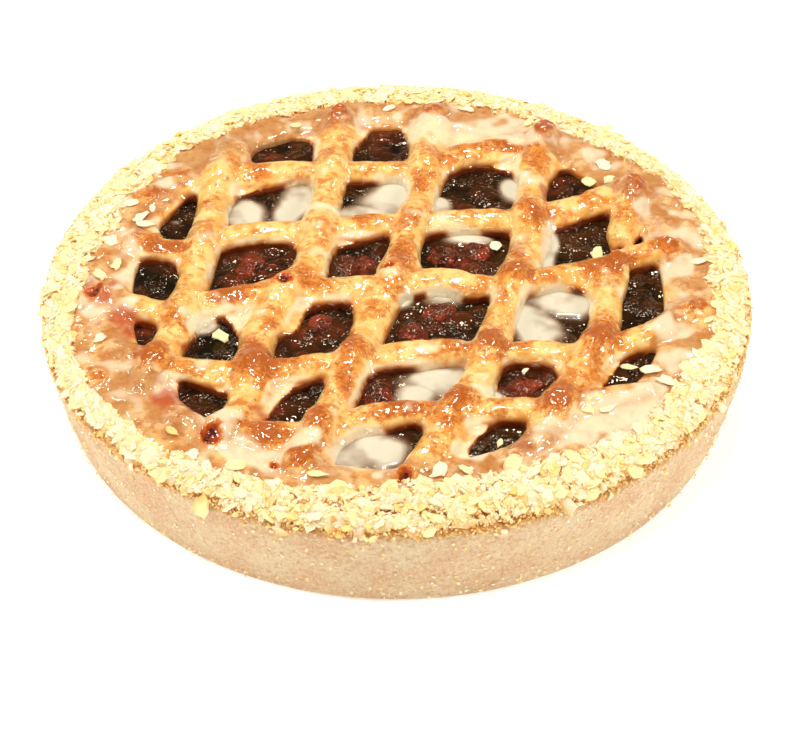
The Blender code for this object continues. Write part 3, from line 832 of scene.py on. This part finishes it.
def paint_lattice(mesh, places, burn):
    """Where the dough is browned, pale with glaze, dusky, stained with jelly, darkened by painted shade
    and milky in a partly painted reflection, at each point.
    """
    normals = normal_array(mesh)
    radius = np.hypot(places[:, 0], places[:, 1])
    crest = smooth_step(places[:, 2], 0.0428, 0.0452) * smooth_step(normals[:, 2], 0.45, 0.9)
    blotch = noise(places, 0.009, 21, 3)
    brown = 0.30 * crest + 0.75 * blotch - 0.08
    for x, y, size, strength in BROWNED:
        brown += 0.72 * strength * nearness(places, x, y, size) * (0.45 + 0.55 * crest)
    knob = np.zeros(len(places))
    for x, y, size, height in KNOBS:
        knob = np.maximum(knob, knob_share(places, x, y, size) * (0.25 + 0.5 * height))
    brown += 0.75 * knob * (1.0 + 1.1 * noise(places, 0.0045, 25, 2))
    drips = noise(places, 0.0070, 33, 2)
    flank = (1.0 - smooth_step(normals[:, 2], 0.35, 0.85)) * smooth_step(places[:, 2], 0.0415, 0.0440)
    ring = smooth_step(radius, 0.094, 0.103)
    to_strand = distance_to(places, np.vstack(UPPER_PATHS + LOWER_PATHS))
    web = smooth_step(to_strand, 0.0050, 0.0076) * (1.0 - ring)
    pale = 0.25 * flank + 0.50 * web + 0.95 * drips + 0.12 * ring - 0.15 * unit(brown)
    for x, y, size, strength in PALE_PLACES:
        pale += strength * nearness(places, x, y, size) * (1.0 + 0.5 * noise(places, 0.008, 43, 2))
    pale -= 0.9 * knob
    far = smooth_step(places[:, 1], 0.03, 0.09)
    dusk = ring * (0.80 + 0.6 * noise(places, 0.012, 55, 2) + 0.30 * far)
    dusk *= (1.0 - 0.6 * unit(brown - 0.2)) * (1.0 - 0.8 * unit(knob))
    # Painted shade: the openings' low, steep walls are darkened, most of all those facing the front, but
    # not under the pale pools.
    facing = smooth_step(-normals[:, 1], 0.1, 0.7)
    low = 1.0 - smooth_step(places[:, 2], 0.0398, 0.0438)
    rim_shade = low * (0.35 + 0.65 * facing) * (1.0 - ring)
    rim_shade *= 1.0 - smooth_step(normals[:, 2], 0.60, 0.90)
    jelly = np.zeros(len(places))
    for x, y, size in JELLY_STAINS:
        smear = nearness(places, x, y, size) * (1.0 + noise(places, 0.005, 41, 2))
        jelly = np.maximum(jelly, smooth_step(smear, 0.25, 0.95))
    pool = pool_depth(places)
    # Milky colour on the dough's lower sides round the pale pools, partly a painted reflection.
    milk_and_sheen = smooth_step(pool, -0.30, 0.25) * (1.0 - smooth_step(places[:, 2], 0.0418, 0.0450))
    rim_shade *= 1.0 - smooth_step(pool, -0.30, 0.05)
    set_colours(mesh, "bake", brown, pale, burn)
    # The second channel is the painted shade on the openings' low walls.
    set_colours(mesh, "dusk_rim_shade_jelly", dusk, rim_shade, jelly)
    # Milky colour, partly a painted reflection, and the creases' partly painted shade.
    set_colours(mesh, "cover", milk_and_sheen, crease_shade_share(mesh, places, normals))


# Jam and fruit

# Cherries that show: x, y and radius in millimetres
CHERRIES = (
    (15, -12.5, 7.2), (5, -24.5, 7.0), (-7, -58.5, 6.6), (17.5, 19.5, 7.0), (31, 23.5, 6.4),
    (-12, 15.5, 6.5), (-54, 12, 7.0), (46, -54.5, 7.0), (-28, -22, 7.0),
)
CHERRY_DEPTH = 0.0042

# Red places in the jam: x, y and radius in millimetres
RED_JAM = (
    (-50, 88, 9), (-8, 98, 10), (-93, -27, 9), (-52, 12, 13), (22, 50, 8), (20, 18, 12), (60, 66, 8),
    (10, -18, 12), (-10, -60, 9), (44, -56, 12), (-30, -26, 10), (-78, -66, 7), (-46, -68, 6),
    (-12, 14, 9),
)


FRUIT_PIECES = 420
BLOCK = 4000


def fruit_lumps(places):
    """How high the fruit pieces in the jam reach at each point, from 0 to 1."""
    rng = np.random.default_rng(31)
    angle = rng.uniform(0.0, 2.0 * np.pi, FRUIT_PIECES)
    middles = polar(0.100 * np.sqrt(rng.uniform(0.0, 1.0, FRUIT_PIECES)), angle)
    sizes = rng.uniform(0.0028, 0.0062, FRUIT_PIECES)
    tall = rng.uniform(0.3, 1.0, FRUIT_PIECES)
    height = np.zeros(len(places))
    for start in range(0, len(places), BLOCK):
        block = places[start:start + BLOCK]
        away = np.hypot(block[:, None, 0] - middles[None, :, 0], block[:, None, 1] - middles[None, :, 1])
        away = away / sizes * (1.0 + 0.25 * noise(block, 0.004, 35)[:, None])
        caps = tall * np.sqrt(unit(1.0 - away ** 2))
        height[start:start + BLOCK] = caps.max(axis=1)
    return height


def jam_height(places):
    """The jam's height at each point, and its fruit lumps."""
    lumps = fruit_lumps(places)
    height = JAM_HEIGHT - 0.0012 + 0.0013 * lumps
    height += 0.0006 * noise(places, 0.0085, 61, 2) + 0.00022 * noise(places, 0.0022, 64, 2)
    return np.minimum(height, JAM_HEIGHT + 0.0007), lumps


def disc(rows, steps, top, bottom):
    """Faces of a closed disc: a top middle point, rings outwards, then a bottom middle point."""
    faces = [(top, 1 + i, 1 + (i + 1) % steps) for i in range(steps)]
    for ring in range(rows - 1):
        first = 1 + ring * steps
        second = first + steps
        for i in range(steps):
            j = (i + 1) % steps
            faces.append((first + i, second + i, second + j, first + j))
    last = 1 + (rows - 1) * steps
    faces += [(bottom, last + (i + 1) % steps, last + i) for i in range(steps)]
    return faces


def make_jam():
    """A disc of jam with a lumpy top, up to the well's wall."""
    steps = 420
    rings = 150
    floor = WELL_FLOOR + 0.0003
    angles = 2.0 * np.pi * np.arange(steps) / steps
    edge = WELL_RADIUS - 0.0003 + around(WELL_SHIFT, angles)
    rows = [polar(edge * ring / rings, angles) for ring in range(1, rings + 1)]
    top = np.vstack([np.zeros((1, 3))] + rows)
    top[:, 2], lumps = jam_height(top)
    places = np.vstack([top, polar(edge, angles, floor), [[0.0, 0.0, floor]]])
    mesh = new_mesh("jam", places.tolist(), disc(rings + 1, steps, 0, len(places) - 1))
    red = np.zeros(len(places))
    for x, y, size in RED_JAM:
        red = np.maximum(red, nearness(places, x, y, size))
    lumps = np.concatenate([lumps, np.zeros(steps + 1)])
    red *= 0.25 + 0.75 * lumps + 0.6 * noise(places, 0.005, 81, 2)
    set_colours(mesh, "fruit", red, lumps)
    mesh.shade_smooth()
    return add_object("jam", mesh)


def make_cherries():
    """Plump cooked cherries, dented and half sunk in the jam."""
    bm = bmesh.new()
    for index, (x, y, radius) in enumerate(CHERRIES):
        ball = bmesh.ops.create_icosphere(bm, subdivisions=5, radius=1.0)["verts"]
        places = np.array([vertex.co[:] for vertex in ball])
        lumps = 1.0 + 0.26 * noise(places + index, 0.8, 90 + index)
        lumps += 0.14 * noise(places, 0.40, 120 + index, 2)
        for vertex, lump in zip(ball, lumps):
            vertex.co *= radius * MM * lump
            vertex.co.z = vertex.co.z * 0.80 + JAM_HEIGHT - CHERRY_DEPTH
            vertex.co.x += x * MM
            vertex.co.y += y * MM
    mesh = mesh_from("cherries", bm)
    mesh.shade_smooth()
    return add_object("cherries", mesh)


# Thin see-through films on the jam, glaze with a painted sheen: x, y, half sizes in millimetres and a
# turn in degrees
THIN_GLAZE_AND_SHEEN_FILMS = (
    (-46, 17, 9, 7, 20), (-80, 60, 8, 7, 30), (-50, 91, 10, 6, 0), (-10, 100, 8, 5, 0),
    (-84, 40, 7, 5, 0), (70, 60, 7, 5, 0), (52, 12, 8, 8, 0), (44, -60, 6, 4, 0), (-8, -66, 7, 5, 0),
    (-28, 22, 6, 4, 0),
)


def make_glaze_and_reflection_film():
    """Milky film on the jam round the pale pools, thinning to nothing away from them; glaze whose white
    is partly a painted reflection.
    """
    xs = np.arange(-0.092, 0.0921, FILM_CELL)
    ys = np.arange(-0.110, 0.1081, FILM_CELL)
    x, y = np.meshgrid(xs, ys)
    points = np.column_stack([x.ravel(), y.ravel(), np.zeros(x.size)])
    depth = np.maximum(pool_depth(points), pool_depth(points, THIN_GLAZE_AND_SHEEN_FILMS) - 1.15)
    base, _ = jam_height(points)
    level = POOL_EDGE + (POOL_TOP - POOL_EDGE) * smooth_step(depth, -0.45, 0.20)
    poking = smooth_step(base - level, -0.0002, 0.0006)
    cover = (smooth_step(depth, -0.60, 0.50) * (1.0 - 0.25 * poking)).reshape(x.shape)
    base = base.reshape(x.shape)
    top = np.maximum(base + 0.0001, level.reshape(x.shape))
    kept = np.zeros((len(ys) - 1, len(xs) - 1), bool)
    kept[1:-1, 1:-1] = (cover[:-1, :-1] > 0.0)[1:-1, 1:-1]
    mesh = slab_from_squares(kept, xs, ys, top, base - 0.0003)
    places = vertex_array(mesh)
    column = np.clip(np.round((places[:, 0] - xs[0]) / FILM_CELL).astype(int), 0, len(xs) - 1)
    row = np.clip(np.round((places[:, 1] - ys[0]) / FILM_CELL).astype(int), 0, len(ys) - 1)
    set_colours(mesh, "edge", cover[row, column])
    mesh.shade_smooth()
    return add_object("glaze_and_reflection_film", mesh)


# Crust


def shoulder_point(share):
    """Radius and height on the case's shoulder, from the crest at 0 to the widest point at 1."""
    angle = math.pi / 2.0 * (1.0 - np.asarray(share, float))
    radius = CREST_RADIUS + (SIDE_RADIUS - CREST_RADIUS) * np.cos(angle)
    height = SIDE_TOP + (CREST_HEIGHT - SIDE_TOP) * np.sin(angle)
    return radius, height


def crust_profile():
    """Radius and height from under the ring, over the shoulder and down the side to the foot."""
    points = [(0.0, 0.0375), (0.1000, 0.0375), (0.1060, 0.0395), (0.1095, 0.0410)]
    for share in np.linspace(0.18, 1.0, 16):
        radius, height = shoulder_point(share)
        points.append((float(radius), float(height) - 0.0004))
    for share in np.linspace(0.0, 1.0, 40)[1:]:
        height = SIDE_TOP * (1.0 - share) + FOOT_FILLET * share
        belly = 4.0 * share * (1.0 - share) * SIDE_BELLY
        points.append((SIDE_RADIUS + (FOOT_RADIUS - SIDE_RADIUS) * share + belly, height))
    for turn in np.linspace(0.0, 90.0, 5)[1:]:
        angle = math.radians(turn)
        radius = FOOT_RADIUS - FOOT_FILLET * (1.0 - math.cos(angle))
        points.append((radius, FOOT_FILLET * (1.0 - math.sin(angle))))
    points.append((0.0, 0.0))
    return points


def make_crust():
    """The case under its almonds, with a crumbly hand-made side."""
    steps = 900
    profile = crust_profile()
    angles = 2.0 * np.pi * np.arange(steps) / steps
    rows = [polar(radius, angles, height) for radius, height in profile[1:-1]]
    places = np.vstack([[[0.0, 0.0, profile[0][1]]]] + rows + [[[0.0, 0.0, 0.0]]])
    mesh = new_mesh("crust_body", places.tolist(), disc(len(rows), steps, 0, len(places) - 1))
    radius = np.hypot(places[:, 0], places[:, 1])
    side = smooth_step(radius, 0.1165, 0.1225) * smooth_step(places[:, 2], 0.0, 0.003)
    swell = 0.0006 * noise(places, 0.020, 200, 2) + 0.00045 * noise(places, 0.0040, 205, 2)
    pits = np.minimum(0.0, noise(places, 0.0021, 210, 2) + 0.25)
    swell += 0.00055 * pits
    scale = 1.0 + side * swell / np.maximum(radius, 0.01)
    places[:, 0] *= scale
    places[:, 1] *= scale
    set_vertices(mesh, places)
    top = smooth_step(places[:, 2], 0.0350, 0.0376)
    # The first channel marks the pits for their painted shade; the second the golden top of the side.
    set_colours(mesh, "place", -pits, top)
    mesh.shade_smooth()
    return add_object("crust_body", mesh)


# Almonds

CREAM = np.array(srgb(253, 241, 200))
YELLOW = np.array(srgb(253, 236, 168))
TOASTED = np.array(srgb(248, 210, 130))
SKIN = np.array(srgb(220, 150, 80))
# A warm golden painted shade, taken by the corners of each piece that lie low on the band.
CREVICE_SHADE = np.array(srgb(240, 180, 98))
GOLDEN_TURN = 0.6180339887
SIDE_DROP = 0.035
SIDE_LEAN = 0.22


def polygon_chip(sides):
    """Unit shape of a thin, bowed chip: rim points above and below, and two middle points."""
    angles = 2.0 * np.pi * np.arange(sides) / sides
    rim = np.column_stack([np.cos(angles), np.sin(angles)])
    places = np.vstack([
        np.column_stack([rim * 0.90, np.full(sides, 0.5)]),
        np.column_stack([rim, np.full(sides, -0.5)]),
        [[0.0, 0.0, 0.56], [0.0, 0.0, -0.5]],
    ])
    places[:, 2] += 0.7 * (1.0 - places[:, 0] ** 2)
    faces = []
    for i in range(sides):
        j = (i + 1) % sides
        faces += [(2 * sides, i, j), (2 * sides + 1, sides + j, sides + i), (i, sides + i, sides + j, j)]
    return places, faces


def nut_chunk():
    """Unit shape of a crumb: an icosahedron, which random corners make irregular."""
    bm = bmesh.new()
    bmesh.ops.create_icosphere(bm, subdivisions=1, radius=0.5)
    places = np.array([vertex.co[:] for vertex in bm.verts])
    faces = [tuple(vertex.index for vertex in face.verts) for face in bm.faces]
    bm.free()
    return places, faces


def turned_frames(normals, rng, tilt):
    """A random frame for each piece: its Z leans about tilt radians off the normal."""
    count = len(normals)
    lean = normals + rng.normal(0.0, math.tan(tilt) * 0.6, (count, 3))
    lean /= np.linalg.norm(lean, axis=1)[:, None]
    helper = rng.normal(0.0, 1.0, (count, 3))
    along = np.cross(lean, helper)
    along /= np.linalg.norm(along, axis=1)[:, None]
    across = np.cross(lean, along)
    return np.stack([along, across, lean], axis=2)


def scatter(name, template, spots, sizes, rng, tilt, jitter, mix):
    """One mesh of many pieces: each gets its own size, turn, uneven corners and colour, with warm
    painted shade at its low corners.
    """
    shape, faces = template
    centres, normals, lifts = spots
    count = len(centres)
    corners = shape[None] * (1.0 + rng.uniform(-jitter, jitter, (count, len(shape), 1)))
    corners = corners + rng.uniform(-jitter, jitter, corners.shape) * np.array([0.22, 0.22, 0.12])
    corners = corners * sizes[:, None, :]
    frames = turned_frames(normals, rng, tilt)
    places = np.einsum("nij,nkj->nki", frames, corners) + centres[:, None, :]
    offsets = (np.arange(count) * len(shape))[:, None]
    all_faces = []
    for face in faces:
        all_faces += (np.array(face)[None] + offsets).tolist()
    mesh = new_mesh(name, places.reshape(-1, 3).tolist(), all_faces)
    shade = rng.uniform(0.0, 1.0, count)
    colour = np.where((shade < mix[0])[:, None], CREAM, YELLOW)
    colour = np.where((shade > mix[1])[:, None], TOASTED, colour)
    colour = np.where((shade > mix[2])[:, None], SKIN, colour)
    colour = colour * rng.uniform(0.95, 1.04, (count, 1))
    colour = np.repeat(unit(colour), len(shape), axis=0)
    # Painted shade: corners close to the band's surface turn towards the warm golden shade colour.
    raised = ((places - centres[:, None, :]) * normals[:, None, :]).sum(axis=2) + lifts[:, None]
    open_share = smooth_step(raised.ravel(), 0.0, 0.0013)[:, None]
    colour = CREVICE_SHADE + (colour - CREVICE_SHADE) * open_share
    set_colours(mesh, "tint", *colour.T)
    return add_object(name, mesh)


def band_places(count, rng, inwards, lowest, pile):
    """Points and normals over the almond band, heaped in its middle, with a few pieces lower."""
    angle = 2.0 * np.pi * (np.arange(count) * GOLDEN_TURN % 1.0)
    edge = (around(BAND_EDGE, angle) + 2.0 - 1.2 * np.sin(angle) - inwards) * MM
    wander = polar(1.0, angle)
    edge = edge + 0.0030 * noise(wander, 0.05, 301, 2)
    span = SIDE_RADIUS - CREST_RADIUS
    first = np.arcsin(unit((edge - CREST_RADIUS) / span)) / (math.pi / 2.0)
    first = np.where(edge < CREST_RADIUS, (edge - CREST_RADIUS) / span * 2.0 / math.pi, first)
    mix = rng.uniform(0.0, 1.0, count)
    last = lowest + 0.10 * noise(wander, 0.07, 305, 2)
    last = np.where(rng.uniform(0.0, 1.0, count) < 0.07, last + rng.uniform(0.1, 0.4, count), last)
    share = first + (last - first) * mix
    flat = np.minimum(share, 0.0)
    below = unit(share - 1.0)
    radius, height = shoulder_point(unit(share))
    radius = radius + flat * span * math.pi / 2.0 - below * SIDE_DROP * SIDE_LEAN
    height = height - below * SIDE_DROP
    slope = math.pi / 2.0 * (1.0 - unit(share))
    out_part = np.cos(slope) / span
    up_part = np.sin(slope) / (CREST_HEIGHT - SIDE_TOP)
    length = np.hypot(out_part, up_part)
    normals = np.column_stack([np.cos(angle) * out_part / length, np.sin(angle) * out_part / length,
                               up_part / length])
    heap = 0.35 + 0.65 * smooth_step(mix, 0.0, 0.25) * (1.0 - smooth_step(mix, 0.75, 1.0))
    lift = rng.uniform(0.0, 1.0, count) * pile * heap + 0.0002 * (share < 0.6)
    return polar(radius, angle, height) + normals * lift[:, None], normals, lift


def side_places(count, rng):
    """Points and normals on the upright side, more of them low down."""
    angle = rng.uniform(0.0, 2.0 * np.pi, count)
    height = 0.002 + 0.034 * rng.uniform(0.0, 1.0, count) ** 1.4
    radius = FOOT_RADIUS + (SIDE_RADIUS - FOOT_RADIUS) * height / SIDE_TOP + SIDE_BELLY
    normals = polar(1.0, angle)
    centres = normals * radius[:, None]
    centres[:, 2] = height
    return centres, normals, np.full(count, 0.002)


# Flat pieces of the band: name, sides, how many, reach inwards in millimetres, lowest share of the
# shoulder, height of the heap, lengths, widths by length, thicknesses, lean, jitter and shades
FLAT_KINDS = (
    ("almond_flakes", 7, 1700, -0.6, 0.66, 0.0011, (1.6, 4.8), (0.4, 0.8), (0.3, 0.7), 0.36, 0.26,
     (0.50, 0.95, 0.999)),
    ("almond_chips", 5, 6000, 0.4, 0.70, 0.0012, (0.6, 1.9), (0.4, 0.85), (0.3, 0.9), 0.6, 0.28,
     (0.50, 0.90, 0.995)),
)

# Crumbs of the band: name, how many, reach inwards, lowest share, height of the heap and shades
CRUMB_KINDS = (
    ("almond_crumbs", 9500, 1.2, 0.76, 0.0013, (0.42, 0.80, 0.98)),
    ("toasted_crumbs", 4200, -8.0, 0.92, 0.0007, (0.15, 0.40, 0.86)),
)
SIDE_CRUMBS = 1500


def make_almonds():
    """The almond band and the crumbs on the side, from the largest pieces to the smallest."""
    rng = np.random.default_rng(77)
    pieces = []
    for name, sides, count, inwards, lowest, pile, long, wide, thick, lean, jitter, shades in FLAT_KINDS:
        spots = band_places(count, rng, inwards, lowest, pile)
        length = rng.uniform(*long, count) * MM
        width = length * rng.uniform(*wide, count)
        sizes = np.column_stack([length, width, rng.uniform(*thick, count) * MM])
        pieces.append(scatter(name, polygon_chip(sides), spots, sizes, rng, lean, jitter, shades))
    for name, count, inwards, lowest, pile, shades in CRUMB_KINDS:
        spots = band_places(count, rng, inwards, lowest, pile)
        length = rng.uniform(0.5, 1.4, count) * MM
        sizes = np.column_stack([length, length * 0.8, length * 0.7])
        pieces.append(scatter(name, nut_chunk(), spots, sizes, rng, 1.2, 0.3, shades))
    spots = side_places(SIDE_CRUMBS, rng)
    length = rng.uniform(0.4, 1.0, SIDE_CRUMBS) ** 2 * 1.6 * MM
    sizes = np.column_stack([length, length * 0.8, length * 0.6])
    pieces.append(scatter("side_crumbs", nut_chunk(), spots, sizes, rng, 0.8, 0.3, (0.55, 0.90, 1.1)))
    return pieces


# Single flakes that lie on the glaze and in the jam: x, y, height and length in millimetres
STRAY_FLAKES = (
    (75, -69, 44.0, 8.5), (66, -71, 44.0, 7.5), (46, -90, 43.8, 7.5), (15, -104, 43.8, 6.5),
    (24, -104, 43.8, 4.5), (24, -109, 43.6, 4.5), (40, -101, 43.8, 8.0), (8, -110, 43.4, 6.0),
    (-27, -106, 43.6, 6.5), (-55, -101, 43.4, 7.0), (-97, 38, 43.6, 6.5), (-95, 34, 43.6, 7.5),
    (-96, 66, 43.4, 7.0), (-92, 70, 43.4, 6.0), (-107, 24, 43.4, 6.0), (-104, 10, 43.4, 5.5),
    (-107, -33, 43.4, 6.0), (91, -51, 43.8, 6.5), (96, -57, 43.6, 7.5), (103, -50, 43.6, 7.0),
    (108, -42, 43.4, 5.5), (112, -37, 43.2, 5.5), (106, -47, 43.4, 4.5), (74, 61, 43.4, 6.0),
    (82, 62, 43.6, 5.0), (80, 71, 43.6, 6.0), (37, 23, 41.4, 5.5), (75, 19, 41.2, 6.5),
    (-64, -29, 41.2, 6.0), (36, -87, 41.2, 4.0), (46, -49, 41.4, 3.0), (83, -47, 41.4, 5.0),
    (-93, 44, 43.4, 4.0), (-101, 47, 43.4, 5.0), (52, 99, 43.6, 5.0), (28, 108, 43.6, 5.5),
    (-3, 109, 43.6, 5.0), (-40, 97, 43.6, 4.0), (-78, -84, 43.6, 5.0), (-70, -95, 43.4, 5.5),
    (62, -98, 43.4, 5.5), (-110, 4, 43.2, 5.5), (112, 12, 43.2, 5.0), (114, -22, 43.0, 5.5),
)


def make_strays():
    """Single flakes, nearly flat, on the glaze and in the jam."""
    rng = np.random.default_rng(9)
    table = np.array(STRAY_FLAKES)
    count = len(table)
    spots = (table[:, :3] * MM, np.tile([0.0, 0.0, 1.0], (count, 1)), np.full(count, 0.001))
    length = table[:, 3] * MM * 0.58
    sizes = np.column_stack([length, length * rng.uniform(0.45, 0.75, count), np.full(count, 0.0004)])
    return scatter("stray_flakes", polygon_chip(9), spots, sizes, rng, 0.16, 0.30, (0.35, 0.97, 1.1))


# Stage


def make_floor():
    """Bright white paper that catches the torte's soft shadow."""
    bm = bmesh.new()
    bmesh.ops.create_grid(bm, x_segments=1, y_segments=1, size=3.0)
    floor = add_object("floor", mesh_from("floor", bm))
    s = Shader("white_paper")
    s.set(Base_Color=(0.85, 0.88, 0.94, 1.0), Roughness=0.9, Specular_IOR_Level=0.1,
          Emission_Color=(1.0, 1.0, 1.0, 1.0), Emission_Strength=0.44)
    floor.data.materials.append(s.material)


MIDDLE = (0.0, 0.0, 0.03)
WARM = (1.0, 0.97, 0.90)

# Lamps: name, place, size, power and colour
LAMPS = (
    ("over", (0.15, 0.45, 1.25), (0.22, 0.16), 8.2, WARM),
    ("top", (-0.35, 0.15, 1.30), (0.16, 0.16), 3.9, WARM),
    ("front", (-0.15, -0.45, 1.20), (0.20, 0.12), 3.3, WARM),
    ("right", (0.95, -0.25, 0.60), (0.22, 0.22), 5.6, WARM),
    ("left", (-0.95, -0.15, 0.60), (0.22, 0.22), 5.2, WARM),
    ("back", (-0.45, 0.95, 0.95), (0.10, 0.10), 0.7, WARM),
    ("far", (0.60, 0.85, 0.75), (0.08, 0.08), 0.5, WARM),
    ("low", (0.0, -1.15, 0.20), (0.60, 0.16), 1.6, (1.0, 0.88, 0.70)),
)

# The room's light: height of the direction, 0 at the horizon and 1 straight up, and strength
ROOM_LEVELS = ((0.0, 0.34), (0.28, 0.34), (0.42, 0.06), (0.80, 0.06), (0.93, 0.24))


def add_light(name, place, size, power, colour):
    """A rectangular lamp that looks at the torte's middle."""
    data = bpy.data.lights.new(name, "AREA")
    data.shape = "RECTANGLE"
    data.size, data.size_y = size
    data.energy = power
    data.color = colour
    light = bpy.data.objects.new(name, data)
    light.location = place
    light.rotation_euler = (Vector(MIDDLE) - Vector(place)).to_track_quat("-Z", "Y").to_euler()
    bpy.context.scene.collection.objects.link(light)


def make_light():
    """A bright room: pale all round the horizon and overhead, darker where the flat jam looks."""
    world = bpy.data.worlds.new("studio")
    world.use_nodes = True
    tree = world.node_tree
    sky = tree.nodes["Background"]
    place = tree.nodes.new("ShaderNodeTexCoord")
    parts = tree.nodes.new("ShaderNodeSeparateXYZ")
    ramp = tree.nodes.new("ShaderNodeValToRGB")
    tree.links.new(place.outputs["Generated"], parts.inputs[0])
    tree.links.new(parts.outputs["Z"], ramp.inputs["Fac"])
    tree.links.new(ramp.outputs["Color"], sky.inputs["Color"])
    while len(ramp.color_ramp.elements) < len(ROOM_LEVELS):
        ramp.color_ramp.elements.new(0.5)
    for element, (position, level) in zip(ramp.color_ramp.elements, ROOM_LEVELS):
        element.position = position
        element.color = (level, level * 0.96, level * 0.88, 1.0)
    sky.inputs["Strength"].default_value = 1.0
    bpy.context.scene.world = world
    for lamp in LAMPS:
        add_light(*lamp)


# The photo's camera: place in metres, tilt up from straight down in degrees, and lens
CAMERA_PLACE = (0.00127, -0.86353, 0.73837)
CAMERA_TILT = 49.55
LENS = 135.0


def make_camera():
    data = bpy.data.cameras.new("camera")
    data.lens = LENS
    data.sensor_width = 36.0
    camera = bpy.data.objects.new("camera", data)
    camera.location = CAMERA_PLACE
    camera.rotation_euler = (math.radians(CAMERA_TILT), 0.0, 0.0)
    bpy.context.scene.collection.objects.link(camera)
    bpy.context.scene.camera = camera


make_camera()
make_light()
make_floor()
bpy.context.scene.view_settings.view_transform = "Standard"

crust = dress(make_crust(), crust_material())
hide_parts("crust")
lattice = dress(make_lattice(), lattice_material())
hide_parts("strand_a1", "strand_a2", "strand_a3", "strand_a4", "strand_a5", "strand_a6",
            "strand_b1", "strand_b2", "strand_b3", "strand_b4", "strand_b5")
jam = dress(make_jam(), jam_material())
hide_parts("filling")
cherries = dress(make_cherries(), cherry_material())
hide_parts(*["cherry_%d" % number for number in range(1, 10)])
dress(make_glaze_and_reflection_film(), glaze_and_reflection_material())
nut = almond_material()
for nuts in make_almonds() + [make_strays()]:
    dress(nuts, nut)
